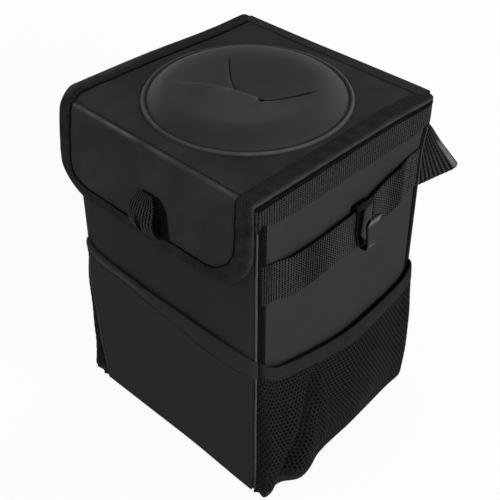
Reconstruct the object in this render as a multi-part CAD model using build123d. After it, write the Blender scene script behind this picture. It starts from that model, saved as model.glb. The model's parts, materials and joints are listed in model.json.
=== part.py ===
from build123d import *
import math
import os

# Soft car trash bin. Millimetres, +Z up, the front faces -Y.
# The origin is the middle of the flat base, on the ground.

# Box of the bin
body_width = 163.0
body_depth = 158.0
wall_height = 243.0
corner_radius = 5.0

# Sewn layers, from the outside inwards
cloth = 0.7
board = 1.2
lining = 0.4
board_side_margin = 6.0
board_play = 0.3
liner_corner_radius = 3.0

# Tapes
tape = 0.8
mouth_tape_outer_leg = 18.0
mouth_tape_inner_leg = 12.0
corner_tape = 0.7
corner_tape_front_leg = 3.5
corner_tape_side_leg = 7.0
hinge_tape_height = 20.0
hinge_tape_side_margin = 6.0
edging = 0.5
edging_leg = 10.0

# Lid and flap
lid_overhang = 0.5
rest_gap = 0.4
fold_gap = 0.4
flap_standoff = 2.2
flap_length = 69.0
flap_corner_radius = 31.0

# Moulded foam mouth in the lid
flange_clearance = 5.0
flange_width = 8.5
flange_height = 1.7
flange_groove_inset = 4.5
flange_groove_width = 2.4
flange_groove_depth = 0.7
rim_width = 15.0
crest_height = 9.0
dip_height = 4.0
rim_puff = 1.2
foam = 2.4
slit_reach = 5.5
slit_width = 1.0

# Pull loop and closure on the flap
pull_loop_width = 26.0
pull_loop_height = 30.0
pull_loop_foot = 5.0
pull_loop_rise = 8.0
pull_loop_corner = 11.0
webbing = 1.6
patch = 0.7
patch_width = 44.0
patch_height = 20.0
patch_above_edge = 16.0

# Front pocket
front_pocket_height = 127.0
front_pocket_bow = 1.8
front_pocket_hem = 5.0
front_pocket_seam = 4.0
front_pocket_binding_leg = 13.0

# Net pockets
net = 1.2
net_pocket_height = 109.0
net_pocket_slant = 7.5
net_pocket_rise = 13.0
net_pocket_land = 2.0
net_pocket_floor = 1.2
net_pocket_seam = 4.0
elastic_leg = 13.0
net_hole_width = 8.4
net_hole_height = 7.6
net_pitch_y = 12.0
net_pitch_z = 9.6
net_border = 5.0

# Side straps and bag hooks
strap_width = 30.0
strap_drop = 61.5
strap_lift = 15.0
strap_kink_place = 12.0
strap_kink_radius = 20.0
strap_end = 10.0
strap_ramp = 12.0
strap_bend_radius = 8.0
strap_standoff = 3.0
strap_end_gap = 2.0
hook_place = 11.0
hook_width = 16.0
hook_wall = 2.0
hook_play = 0.5
hook_hood_rise = 1.5
hook_back_leg = 22.0
hook_throat = 5.0
hook_foot_width = 9.0
hook_bottom_rise = 7.0
hook_prong_height = 17.0
hook_tip_height = 6.0
hook_tip_flare = 2.0

# Hanging strap at the back, and its slider
hanger_drop = 26.0
hanger_width = 45.0
hanger_sewn_length = 20.0
hanger_edge_margin = 11.5
hanger_high_radius = 5.0
hanger_low_radius = 20.5
slider_bar = 4.0
slider_wall = 2.2
slider_rail = 3.0
slider_play = 0.5
slider_length = 30.0
slider_corner = 3.0

# Derived levels and faces
half_width = body_width / 2
half_depth = body_depth / 2
mouth_top = wall_height + tape
lid_bottom = mouth_top + rest_gap + edging
lid_stack = lining + board + cloth
lid_top = lid_bottom + lid_stack
fold_radius = lid_stack / 2
fold_height = lid_bottom + fold_radius
lid_half_width = half_width + lid_overhang
lid_hinge_y = half_depth + tape - fold_radius
flap_fold_y = -(half_depth + tape + flap_standoff + edging + fold_radius)
lid_front_y = flap_fold_y + fold_radius + fold_gap
flap_bottom = fold_height - flap_length + edging
patch_center_z = flap_bottom + patch_above_edge + patch_height / 2
side_seam_y = half_depth - corner_tape_side_leg
strap_half_length = side_seam_y - strap_end_gap
net_pocket_corner = net_pocket_rise - net_pocket_land
hook_bottom = hook_bottom_rise - strap_width / 2
lid_inner_back = lid_hinge_y - fold_radius
mouth_center_y = (lid_front_y + lid_inner_back) / 2
mouth_room = min(lid_half_width - edging_leg, (lid_inner_back - lid_front_y) / 2)
flange_radius = mouth_room - flange_clearance
flange_groove_radius = flange_radius - flange_groove_inset
rim_radius = flange_radius - flange_width
foam_inner_radius = rim_radius - foam
crest_radius = rim_radius - rim_width
hanger_turn_x = half_width - hanger_edge_margin
hanger_spread = math.asin((hanger_low_radius - hanger_high_radius) / hanger_width)
cut_reach = 4 * max(body_width, body_depth, wall_height)


def rounded_ring(outer, inner, height):
    """A standing wall between two rounded rectangles, each (width, depth, radius)."""
    return extrude(RectangleRounded(*outer) - RectangleRounded(*inner), height)


def shrunk(margin):
    """The box outline moved inwards by a margin, with its corner radius following."""
    return (body_width - 2 * margin, body_depth - 2 * margin, corner_radius - margin)


def liner_outline(margin):
    """The liner's outline moved inwards by a margin."""
    inset = cloth + board + margin
    return (body_width - 2 * inset, body_depth - 2 * inset, liner_corner_radius - margin)


def box_between(low, high):
    """A block given by its lowest and highest corners."""
    size = [high[i] - low[i] for i in range(3)]
    return Pos(*low) * Box(*size, align=(Align.MIN, Align.MIN, Align.MIN))


def rod_along_x(radius, length, y, z):
    """A round bead that runs across the bin."""
    return Pos(0, y, z) * Rot(0, 90, 0) * Cylinder(radius, length)


def mirrored(solid):
    """The same piece on the other side of the bin."""
    return mirror(solid, about=Plane.YZ)


def wall_turns():
    """Each wall's name, its turn about Z, and the width and depth seen from that wall."""
    return [
        ("front", 0, body_width, body_depth),
        ("right", 90, body_depth, body_width),
        ("back", 180, body_width, body_depth),
        ("left", 270, body_depth, body_width),
    ]


def mitred_wedge(width, depth):
    """A plan outline over one wall, mitred through the box corners."""
    reach = 2 * corner_radius
    near = -depth / 2
    points = [
        (-width / 2 - reach, near - reach),
        (width / 2 + reach, near - reach),
        (width / 2 - reach, near + reach),
        (-width / 2 + reach, near + reach),
    ]
    return Polygon(*points, align=None)


def make_walls():
    """Outer cloth panels and the boards behind them."""
    nodes = {}
    shell = Pos(0, 0, cloth) * rounded_ring(shrunk(0), shrunk(cloth), wall_height - cloth)
    board_bottom = cloth + board
    for name, turn, width, depth in wall_turns():
        wedge = extrude(mitred_wedge(width, depth), wall_height)
        nodes[name + "_panel"] = shell & (Rot(0, 0, turn) * wedge)
        half = width / 2 - cloth - board_side_margin
        outer = -depth / 2 + cloth
        plate = box_between((-half, outer, board_bottom), (half, outer + board, wall_height))
        nodes[name + "_board"] = Rot(0, 0, turn) * plate
    nodes["base_panel"] = extrude(RectangleRounded(*shrunk(0)), cloth)
    floor = RectangleRounded(*shrunk(cloth + board_play))
    nodes["base_board"] = Pos(0, 0, cloth) * extrude(floor, board)
    return nodes


def make_liner():
    """The waterproof bag inside the boards."""
    floor = cloth + board
    bag = Pos(0, 0, floor) * extrude(RectangleRounded(*liner_outline(0)), wall_height - floor)
    room = Pos(0, 0, floor + lining) * extrude(RectangleRounded(*liner_outline(lining)), wall_height)
    return {"liner": bag - room}


def make_mouth_tape():
    """Tape folded over the mouth's edge: a long leg outside and a short one inside."""
    outside = shrunk(-tape)
    inside = liner_outline(lining + tape)
    outer_leg = rounded_ring(outside, shrunk(0), mouth_tape_outer_leg)
    inner_leg = rounded_ring(liner_outline(lining), inside, mouth_tape_inner_leg)
    cap = rounded_ring(outside, inside, tape)
    folded = Pos(0, 0, wall_height - mouth_tape_outer_leg) * outer_leg
    folded += Pos(0, 0, wall_height - mouth_tape_inner_leg) * inner_leg
    folded += Pos(0, 0, wall_height) * cap
    return {"mouth_tape": folded}


def make_corner_tapes():
    """Tape over the four upright seams, bent round each corner."""
    top = wall_height - mouth_tape_outer_leg
    skin = Pos(0, 0, cloth) * rounded_ring(shrunk(-corner_tape), shrunk(0), top - cloth)
    low = (half_width - corner_tape_front_leg, -half_depth - cut_reach, 0)
    high = (half_width + cut_reach, -half_depth + corner_tape_side_leg, top)
    front_right = skin & box_between(low, high)
    back_right = mirror(front_right, about=Plane.XZ)
    return {
        "front_right_corner_tape": front_right,
        "front_left_corner_tape": mirrored(front_right),
        "back_right_corner_tape": back_right,
        "back_left_corner_tape": mirrored(back_right),
    }


def front_bow(half, offset):
    """Plan outline from the front cloth out to a bowed line that stands an offset further out."""
    base = -half_depth
    edge = base - offset
    return make_face([
        Line((half, base), (half, edge)),
        ThreePointArc((half, edge), (0, edge - front_pocket_bow), (-half, edge)),
        Line((-half, edge), (-half, base)),
        Line((-half, base), (half, base)),
    ])


def front_pocket_gap(half):
    """Plan outline of the room between the front cloth and its pocket."""
    base = -half_depth
    arc = ThreePointArc((half, base), (0, base - front_pocket_bow), (-half, base))
    return make_face([arc, Line((-half, base), (half, base))])


def make_front_pocket():
    """Flat cloth pocket on the lower front, with a bound top edge."""
    half = half_width - corner_tape_front_leg
    gap = front_pocket_gap(half - front_pocket_seam)
    sheet = Pos(0, 0, cloth) * extrude(front_bow(half, cloth), front_pocket_height - cloth)
    sheet -= Pos(0, 0, cloth + front_pocket_hem) * extrude(gap, front_pocket_height)
    band = front_bow(half, cloth + edging)
    leg_bottom = front_pocket_height - front_pocket_binding_leg
    leg = extrude(band - front_bow(half, cloth), front_pocket_binding_leg)
    binding = Pos(0, 0, leg_bottom) * leg
    binding += Pos(0, 0, front_pocket_height) * extrude(band - gap, edging)
    return {"front_pocket": sheet, "front_pocket_binding": binding}


def net_plan(half, offset, rise):
    """Plan outline of the net pocket, a shallow tray on the right panel with round outer corners."""
    depth = rise + offset
    tray = Pos(half_width + depth / 2, 0) * Rectangle(depth, 2 * half)
    outer_corners = tray.vertices().sort_by(Axis.X)[2:]
    return fillet(outer_corners, net_pocket_corner + offset)


def net_side_profile(offset):
    """Side outline of the net pocket, round at its bottom outer edge."""
    bottom = net_pocket_floor + net - offset
    depth = net_pocket_rise + offset
    tall = Rectangle(depth, wall_height, align=(Align.MIN, Align.MIN))
    tall = Pos(half_width, bottom) * tall
    corner = tall.vertices().sort_by(Axis.Y)[:2].sort_by(Axis.X)[-1]
    return Plane.XZ * fillet(corner, net_pocket_corner + offset)


def net_body(half, offset, rise):
    """The bulged block between the right panel and one face of the net."""
    plan = extrude(net_plan(half, offset, rise), wall_height)
    profile = extrude(net_side_profile(offset), cut_reach, both=True)
    return plan & profile


def net_top_plane():
    """The slanted plane of the net pocket's top edge, higher at the front."""
    tilt = math.radians(net_pocket_slant)
    normal = (0, math.sin(tilt), math.cos(tilt))
    return Plane(origin=(half_width, 0, net_pocket_height), x_dir=(1, 0, 0), z_dir=normal)


def slanted_slab(low, high):
    """Everything between two planes parallel to the net pocket's top edge."""
    sheet = Rectangle(cut_reach, cut_reach)
    return net_top_plane() * Pos(0, 0, low) * extrude(sheet, high - low)


def net_holes():
    """Diamond openings of the net, in staggered rows across the bulge."""
    slope = math.tan(math.radians(net_pocket_slant))
    reach = side_seam_y - net_pocket_seam - net_pocket_corner - net_hole_width / 2
    lowest = net_pocket_floor + net + net_pocket_corner + net_hole_height / 2
    row_count = int((net_pocket_height + slope * reach - lowest) / net_pitch_z) + 1
    column_count = int(reach / net_pitch_y) + 1
    places = []
    for row in range(row_count):
        z = lowest + row * net_pitch_z
        shift = net_pitch_y / 2 if row % 2 else 0
        for column in range(-column_count, column_count + 1):
            y = column * net_pitch_y + shift
            roof = net_pocket_height - slope * y - elastic_leg - net_border - net_hole_height / 2
            if abs(y) <= reach and z <= roof:
                places.append((y, z))
    diamond = Polygon(
        (-net_hole_width / 2, 0),
        (0, -net_hole_height / 2),
        (net_hole_width / 2, 0),
        (0, net_hole_height / 2),
    )
    pattern = Sketch() + [Pos(y, z) * diamond for y, z in places]
    wall_side = Plane(origin=(half_width, 0, 0), x_dir=(0, 1, 0), z_dir=(1, 0, 0))
    return extrude(wall_side * pattern, net_pocket_rise + 2 * net)


def make_net_pockets():
    """Net pockets on both sides, with elastic folded over their slanted top edge."""
    half = side_seam_y - edging
    inner_half = half - net_pocket_seam
    full = net_body(half, net, net_pocket_rise) - net_body(inner_half, 0, net_pocket_rise)
    sheet = full & slanted_slab(-cut_reach, 0)
    band = extrude(net_plan(half + edging, net + edging, net_pocket_rise), wall_height)
    band -= extrude(net_plan(inner_half - edging, -edging, net_pocket_rise), wall_height)
    elastic = (band & slanted_slab(-elastic_leg, edging)) - sheet
    sheet -= net_holes()
    return {
        "right_mesh_pocket": sheet,
        "left_mesh_pocket": mirrored(sheet),
        "right_pocket_elastic": elastic,
        "left_pocket_elastic": mirrored(elastic),
    }


def strap_frame():
    """Where the middle of the right side strap's level run meets the panel."""
    return Pos(half_width, 0, wall_height - strap_drop)


def strap_plan():
    """Plan outline of a side strap, sewn at its ends and standing off between them."""
    half = strap_half_length
    flat = half - strap_end
    raised = flat - strap_ramp
    inner = [(0, half), (0, flat), (strap_standoff, raised)]
    inner += [(x, -y) for x, y in reversed(inner)]
    outer = [(x + webbing, y) for x, y in reversed(inner)]
    outline = Polygon(*inner, *outer, align=None)
    bends = [v for v in outline.vertices() if abs(v.Y) < half - strap_end / 2]
    return fillet(bends, strap_bend_radius)


def strap_side():
    """Side outline of a side strap: level from the front to the hook, then rising to the back."""
    half = strap_half_length
    edge = strap_width / 2
    points = [
        (-half, -edge),
        (strap_kink_place, -edge),
        (half, strap_lift - edge),
        (half, strap_lift + edge),
        (strap_kink_place, edge),
        (-half, edge),
    ]
    outline = Polygon(*points, align=None)
    by_kink = sorted(outline.vertices(), key=lambda v: abs(v.X - strap_kink_place))
    return Plane.YZ * fillet(by_kink[:2], strap_kink_radius)


def hook_path():
    """Middle line of the bag hook: down behind the strap, over it, down the front, and up the prong."""
    back = hook_play + hook_wall / 2
    front = strap_standoff + webbing + hook_play + hook_wall / 2
    prong = front + hook_wall + hook_throat
    top = strap_width / 2 + hook_hood_rise
    prong_top = hook_bottom + hook_prong_height
    hood = (front - back) / 2
    bowl = (prong - front) / 2
    return [
        Line((back, top - hook_back_leg), (back, top)),
        ThreePointArc((back, top), (back + hood, top + hood), (front, top)),
        Line((front, top), (front, hook_bottom)),
        ThreePointArc((front, hook_bottom), (front + bowl, hook_bottom - bowl), (prong, hook_bottom)),
        Line((prong, hook_bottom), (prong, prong_top)),
        Line((prong, prong_top), (prong + hook_tip_flare, prong_top + hook_tip_height)),
    ]


def hook_outline():
    """Side outline of the bag hook, full at its hood and narrowing down to its bowl."""
    half = hook_width / 2
    foot = hook_foot_width / 2
    points = [
        (-half, strap_width),
        (-half, 0),
        (-foot, hook_bottom),
        (-foot, -strap_width),
        (foot, -strap_width),
        (foot, hook_bottom),
        (half, 0),
        (half, strap_width),
    ]
    return Plane.YZ * Polygon(*points, align=None)


def make_side_straps():
    """Webbing across each side, and the moulded hook that hangs on it."""
    strap = extrude(strap_plan(), strap_width + strap_lift, both=True)
    strap &= extrude(strap_side(), strap_standoff + 2 * webbing)
    path = hook_path()
    profile = trace(path, hook_wall)
    for end in (path[0] @ 0, path[-1] @ 1):
        profile += Pos(end.X, end.Y) * Circle(hook_wall / 2)
    profile = Plane.XZ * profile
    hook = extrude(profile, hook_width / 2, both=True)
    hook &= extrude(hook_outline(), strap_width)
    hook = Pos(0, hook_place, 0) * hook
    right_strap = strap_frame() * strap
    right_hook = strap_frame() * hook
    return {
        "right_side_strap": right_strap,
        "left_side_strap": mirrored(right_strap),
        "right_bag_hook": right_hook,
        "left_bag_hook": mirrored(right_hook),
    }


def hanger_frame():
    """Frame of the hanging strap's right turn: Z up the axis of its cone, X towards the back panel."""
    outward = Vector(0, math.cos(hanger_spread), math.sin(hanger_spread))
    upward = Vector(0, -math.sin(hanger_spread), math.cos(hanger_spread))
    sewn_edge = Vector(hanger_turn_x, half_depth + webbing / 2, wall_height - hanger_drop)
    center = sewn_edge + outward * hanger_high_radius
    return Plane(origin=center, x_dir=outward * -1, z_dir=upward)


def hanger_section(side):
    """Section of the strap in the plane of the cone's axis, on its near (1) or far (-1) side."""
    drop = hanger_width * math.cos(hanger_spread)
    shift_x = webbing / 2 * math.cos(hanger_spread)
    shift_z = webbing / 2 * math.sin(hanger_spread)
    corners = [
        (side * (hanger_high_radius + shift_x), shift_z),
        (side * (hanger_high_radius - shift_x), -shift_z),
        (side * (hanger_low_radius - shift_x), -drop - shift_z),
        (side * (hanger_low_radius + shift_x), -drop + shift_z),
    ]
    return Plane.XZ * Polygon(*corners, align=None)


def slider_frame():
    """Middle of the hanging strap's back run, with X along the strap and Z away from the bin."""
    far_radius = (hanger_high_radius + hanger_low_radius) / 2
    drop = hanger_width * math.cos(hanger_spread) / 2
    middle = (hanger_frame() * Pos(-far_radius, 0, -drop)).position
    away = Vector(0, math.cos(2 * hanger_spread), math.sin(2 * hanger_spread))
    return Plane(origin=(0, middle.Y, middle.Z), x_dir=(1, 0, 0), z_dir=away)


def make_hanging_strap():
    """Webbing loop behind the bin: sewn ends, cone-shaped turns and a back run with its slider."""
    turn = revolve(hanger_section(1), axis=Axis.Z, revolution_arc=180)
    sewn_end = extrude(hanger_section(1), amount=hanger_sewn_length, dir=(0, -1, 0))
    back_run = extrude(hanger_section(-1), amount=hanger_turn_x, dir=(0, -1, 0))
    right_half = hanger_frame() * (sewn_end + turn + back_run)
    strap = right_half + mirrored(right_half)
    near = webbing / 2 + slider_play
    window = hanger_width + 2 * slider_play
    length = window + 2 * slider_rail
    frame = RectangleRounded(slider_length, length, slider_corner)
    frame -= RectangleRounded(slider_length - 2 * slider_bar, window, slider_corner / 2)
    slider = Pos(0, 0, near) * extrude(frame, slider_wall)
    back = -near - slider_wall
    bar = RectangleRounded(slider_bar, length, slider_corner / 2)
    slider += Pos(0, 0, back) * extrude(bar, slider_wall)
    post = extrude(Rectangle(slider_bar, slider_rail), near - back)
    for side in (-1, 1):
        slider += Pos(0, side * (window + slider_rail) / 2, back) * post
    return {"hanging_strap": strap, "strap_slider": slider_frame() * slider}


def make_hinge_tape():
    """Cloth strip that joins the lid to the back of the bin."""
    half = half_width - hinge_tape_side_margin
    outer = half_depth + tape
    low = (-half, outer, mouth_top - hinge_tape_height)
    strip = box_between(low, (half, outer + cloth, mouth_top))
    return {"lid_hinge_tape": strip}


def lid_layer(bottom, thickness, back_y):
    """One flat layer of the lid, with the round hole for the foam mouth."""
    low = (-lid_half_width, lid_front_y, bottom)
    plate = box_between(low, (lid_half_width, back_y, bottom + thickness))
    hole = Pos(0, mouth_center_y, bottom) * Cylinder(foam_inner_radius, 2 * lid_stack)
    return plate - hole


def make_lid():
    """Layers of the lid, its bound sides, and the rolled cloth at its hinge."""
    cover = lid_layer(lid_top - cloth, cloth, lid_hinge_y)
    cover += rod_along_x(fold_radius, 2 * lid_half_width, lid_hinge_y, fold_height)
    edge = lid_half_width
    outside = box_between(
        (edge - edging_leg, lid_front_y, lid_bottom - edging),
        (edge + edging, lid_inner_back, lid_top + edging),
    )
    inside = box_between(
        (edge - edging_leg, lid_front_y, lid_bottom),
        (edge, lid_inner_back, lid_top),
    )
    binding = outside - inside
    return {
        "lid_lining": lid_layer(lid_bottom, lining, lid_inner_back),
        "lid_board": lid_layer(lid_bottom + lining, board, lid_inner_back),
        "lid_cover": cover,
        "lid_right_binding": binding,
        "lid_left_binding": mirrored(binding),
    }


def make_foam_mouth():
    """Moulded foam disc: stitched flange, puffed rim, dished middle and a cross cut."""
    shoulder = (rim_radius + crest_radius) / 2
    shoulder_height = (flange_height + crest_height) / 2 + rim_puff
    profile = Polygon(
        (flange_radius, 0),
        (flange_radius, flange_height),
        (flange_groove_radius + flange_groove_width / 2, flange_height),
        (flange_groove_radius, flange_height - flange_groove_depth),
        (flange_groove_radius - flange_groove_width / 2, flange_height),
        (rim_radius, flange_height),
        (shoulder, shoulder_height),
        (crest_radius, crest_height),
        (0, dip_height),
        (0, dip_height - foam),
        (crest_radius, crest_height - foam),
        (foam_inner_radius, 0),
        align=None,
    )
    disc = revolve(Plane.XZ * profile, axis=Axis.Z)
    slit = Box(2 * (crest_radius + slit_reach), slit_width, 4 * crest_height)
    for turn in (45, 135):
        disc -= Rot(0, 0, turn) * slit
    return {"foam_mouth": Pos(0, mouth_center_y, lid_top) * disc}


def flap_outline(margin, top):
    """Front outline of the flap up to a level, grown by a margin at its sides and bottom."""
    half = lid_half_width + margin
    bottom = flap_bottom - margin
    sheet = Pos(0, bottom) * Rectangle(2 * half, top - bottom, align=(Align.CENTER, Align.MIN))
    low_corners = sheet.vertices().sort_by(Axis.Y)[:2]
    return fillet(low_corners, flap_corner_radius + margin)


def flap_slab(front_y, back_y, margin=0.0, top=lid_bottom):
    """A slab of the flap's outline between two upright planes."""
    return Plane.XZ.offset(-back_y) * extrude(flap_outline(margin, top), back_y - front_y)


def make_flap():
    """Layers of the front flap, its bound edge and the rolled cloth at the fold."""
    front = flap_fold_y - fold_radius
    back = flap_fold_y + fold_radius
    cover = flap_slab(front, front + cloth)
    upper_low = (-lid_half_width, front, lid_bottom)
    cover += box_between(upper_low, (lid_half_width, front + cloth, fold_height))
    cover += rod_along_x(fold_radius, 2 * lid_half_width, flap_fold_y, fold_height)
    bound_top = lid_bottom - edging - fold_gap
    binding = flap_slab(front - edging, back + edging, edging, bound_top)
    binding -= flap_slab(front, back)
    binding -= flap_slab(front - edging, back + edging, -edging_leg)
    return {
        "flap_cover": cover,
        "flap_board": flap_slab(front + cloth, front + cloth + board),
        "flap_lining": flap_slab(back - lining, back),
        "flap_binding": binding,
    }


def make_pull_loop():
    """Webbing finger loop on the flap, sewn at its top and bottom and bowed between them."""
    face = flap_fold_y - fold_radius
    bottom = flap_bottom + edging_leg
    top = bottom + pull_loop_height
    low = bottom + pull_loop_foot
    high = top - pull_loop_foot
    middle = (low + high) / 2
    outer = face - webbing
    profile = make_face([
        Line((face, bottom), (face, low)),
        ThreePointArc((face, low), (face - pull_loop_rise, middle), (face, high)),
        Line((face, high), (face, top)),
        Line((face, top), (outer, top)),
        Line((outer, top), (outer, high)),
        ThreePointArc((outer, high), (outer - pull_loop_rise, middle), (outer, low)),
        Line((outer, low), (outer, bottom)),
        Line((outer, bottom), (face, bottom)),
    ])
    strip = extrude(Plane.YZ * profile, pull_loop_width / 2, both=True)
    tall = Pos(0, bottom) * Rectangle(pull_loop_width, pull_loop_height, align=(Align.CENTER, Align.MIN))
    arched = fillet(tall.vertices().sort_by(Axis.Y)[2:], pull_loop_corner)
    return {"pull_loop": strip & (Plane.XZ * extrude(arched, cut_reach, both=True))}


def make_closure():
    """The two halves of the flap's hook-and-loop closure."""
    low_z = patch_center_z - patch_height / 2
    high_z = patch_center_z + patch_height / 2
    half = patch_width / 2
    flap_face = flap_fold_y + fold_radius
    front_face = -half_depth
    flap_patch = box_between((-half, flap_face, low_z), (half, flap_face + patch, high_z))
    front_patch = box_between((-half, front_face - patch, low_z), (half, front_face, high_z))
    return {"flap_closure_patch": flap_patch, "front_closure_patch": front_patch}


def make_bin():
    """Every piece of the bin by name."""
    nodes = {}
    makers = [
        make_walls,
        make_liner,
        make_mouth_tape,
        make_corner_tapes,
        make_front_pocket,
        make_net_pockets,
        make_side_straps,
        make_hanging_strap,
        make_hinge_tape,
        make_lid,
        make_foam_mouth,
        make_flap,
        make_pull_loop,
        make_closure,
    ]
    for maker in makers:
        nodes.update(maker())
    return nodes


os.makedirs("parts", exist_ok=True)
for node_name, solid in make_bin().items():
    export_step(solid, "parts/" + node_name + ".step")
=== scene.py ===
"""Car trash bin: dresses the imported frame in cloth, tape, net, webbing, foam and moulded plastic.

Lengths are millimetres until a mesh is made, which is in metres. +Z is up and the front faces -Y.
"""

from __future__ import annotations

import json
import logging
import math
from collections.abc import Callable
from dataclasses import dataclass
from enum import Enum
from functools import partial
from itertools import accumulate

import bmesh
import bpy
from bmesh.types import BMesh
from bpy.types import GeometryNodeTree, Node, NodeSocket, NodeTree, Object
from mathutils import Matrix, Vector, noise

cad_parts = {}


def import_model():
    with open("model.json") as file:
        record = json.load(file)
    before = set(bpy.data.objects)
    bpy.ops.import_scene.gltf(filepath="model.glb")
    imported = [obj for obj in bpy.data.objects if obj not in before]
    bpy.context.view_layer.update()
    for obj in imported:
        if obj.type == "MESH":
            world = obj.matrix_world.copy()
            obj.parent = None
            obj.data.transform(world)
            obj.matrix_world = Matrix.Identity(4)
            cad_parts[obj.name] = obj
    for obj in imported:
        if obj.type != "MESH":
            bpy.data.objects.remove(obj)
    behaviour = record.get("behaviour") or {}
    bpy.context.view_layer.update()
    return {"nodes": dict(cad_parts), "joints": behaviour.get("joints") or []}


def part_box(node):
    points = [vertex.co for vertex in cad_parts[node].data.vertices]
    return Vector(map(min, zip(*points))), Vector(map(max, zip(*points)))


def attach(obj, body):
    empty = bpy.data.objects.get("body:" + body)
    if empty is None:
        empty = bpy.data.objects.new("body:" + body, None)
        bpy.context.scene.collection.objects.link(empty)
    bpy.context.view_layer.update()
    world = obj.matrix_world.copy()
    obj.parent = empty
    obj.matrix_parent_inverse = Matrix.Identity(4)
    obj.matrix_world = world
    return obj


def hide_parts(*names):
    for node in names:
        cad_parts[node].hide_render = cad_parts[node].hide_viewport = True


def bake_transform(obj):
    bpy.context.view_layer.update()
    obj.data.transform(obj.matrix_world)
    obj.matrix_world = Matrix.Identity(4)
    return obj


log = logging.getLogger("car_bin")

MM = 0.001
WELD_MM = 0.002
SHARP_DEG = 40.0
Row = list[Vector]
Colour = tuple[float, float, float, float]


class Side(Enum):
    """Sides of the bin, with the sign of X there."""

    RIGHT = 1
    LEFT = -1


def steps(start: float, end: float, count: int) -> list[float]:
    """Evenly spaced values from start to end, both included."""
    return [start + (end - start) * k / (count - 1) for k in range(count)]


def within(value: float) -> float:
    """The value, kept between 0 and 1."""
    return min(1.0, max(0.0, value))


def ease(low: float, high: float, at: float) -> float:
    """Smooth step from 0 at low to 1 at high."""
    t = within((at - low) / (high - low))
    return t * t * (3 - 2 * t)


def bell(at: float, middle: float, width: float) -> float:
    """A soft bump of height 1 round a middle."""
    return math.exp(-(((at - middle) / width) ** 2))


def up(z: float) -> Vector:
    """A step straight up."""
    return Vector((0, 0, z))


def toward(angle: float) -> Vector:
    """Level direction at an angle from X, in radians."""
    return Vector((math.cos(angle), math.sin(angle), 0))


def wobble(point: Vector, size: float, seed: float = 0.0) -> float:
    """Slow noise between about -1 and 1, the same on each run.

    Args:
        point: Place in millimetres.
        size: Width of one swell in millimetres.
        seed: Shifts the noise, so that two pieces differ.

    Returns:
        The noise there.
    """
    return noise.noise(point / size + Vector((seed, 1.7 * seed, -seed)))


class Smooth:
    """A smooth line through a few measured places, level past its ends."""

    def __init__(self, *places: tuple[float, float]) -> None:
        """Keeps the places, pairs of position and value in rising order of position."""
        self.places = places

    def slope(self, index: int) -> float:
        """Slope at one place, from its neighbours."""
        before, after = self.places[max(index - 1, 0)], self.places[min(index + 1, len(self.places) - 1)]
        return (after[1] - before[1]) / (after[0] - before[0])

    def __call__(self, at: float) -> float:
        """Value of the line at a position.

        Args:
            at: The position.

        Returns:
            The value there.
        """
        if at <= self.places[0][0]:
            return self.places[0][1]
        if at >= self.places[-1][0]:
            return self.places[-1][1]
        index = max(k for k, place in enumerate(self.places) if place[0] <= at)
        start, end = self.places[index], self.places[index + 1]
        width = end[0] - start[0]
        t = (at - start[0]) / width
        bend = t * (1 - t) * width
        eased = t * t * (3 - 2 * t)
        turn = bend * ((1 - t) * self.slope(index) - t * self.slope(index + 1))
        return start[1] + (end[1] - start[1]) * eased + turn


@dataclass(frozen=True)
class Bump:
    """A soft swelling: the position of its middle, how far it spreads, and how far it stands out."""

    middle: float
    width: float
    height: float

    def __call__(self, at: float) -> float:
        """How far it stands out at a position."""
        return self.height * bell(at, self.middle, self.width)


def lengths(line: Row) -> list[float]:
    """Running length along a line of points."""
    parts = [(after - before).length for before, after in zip(line, line[1:])]
    return [0.0, *accumulate(parts)]


def evenly(line: Row, shares: list[float]) -> Row:
    """Points on a line at shares of its length.

    Args:
        line: Points that are close together.
        shares: Places along it, from 0 to 1, in rising order.

    Returns:
        One point for each share.
    """
    run = lengths(line)
    found: Row = []
    index = 0
    for share in shares:
        wanted = share * run[-1]
        while index < len(line) - 2 and run[index + 1] < wanted:
            index += 1
        part = (wanted - run[index]) / max(run[index + 1] - run[index], 1e-9)
        found.append(line[index].lerp(line[index + 1], part))
    return found


def link(name: str, data: bpy.types.ID) -> Object:
    """Puts an object into the scene.

    Args:
        name: Its name.
        data: Its mesh, camera or light.

    Returns:
        The object.
    """
    made = bpy.data.objects.new(name, data)
    bpy.context.scene.collection.objects.link(made)
    return made


def mesh_piece(
    name: str,
    points: Row,
    faces: list[tuple[int, ...]],
    uvs: list[tuple[tuple[float, float], ...]],
) -> Object:
    """Makes an object from points in millimetres.

    Args:
        name: Name of the piece.
        points: Its points.
        faces: Its faces, as indices of points.
        uvs: Cloth lengths in millimetres at each face's corners.

    Returns:
        The object, linked to the scene.
    """
    mesh = bpy.data.meshes.new(name)
    mesh.from_pydata([point * MM for point in points], [], faces)
    layer = mesh.uv_layers.new(name="UVMap")
    for polygon, corners in zip(mesh.polygons, uvs):
        for loop, corner in zip(polygon.loop_indices, corners):
            layer.data[loop].uv = corner
    return link(name, mesh)


def rework(piece: Object, work_on: Callable[[BMesh], None]) -> Object:
    """Changes a piece's mesh in place.

    Args:
        piece: The object.
        work_on: Changes the mesh that it is handed.

    Returns:
        The same object.
    """
    work = bmesh.new()
    work.from_mesh(piece.data)
    work_on(work)
    work.to_mesh(piece.data)
    work.free()
    return piece


def weld(work: BMesh) -> None:
    """Merges the points of a mesh that meet."""
    bmesh.ops.remove_doubles(work, verts=work.verts, dist=WELD_MM * MM)


def close(work: BMesh) -> None:
    """Merges the points of a closed mesh and turns its faces outwards."""
    weld(work)
    bmesh.ops.recalc_face_normals(work, faces=work.faces)


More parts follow.
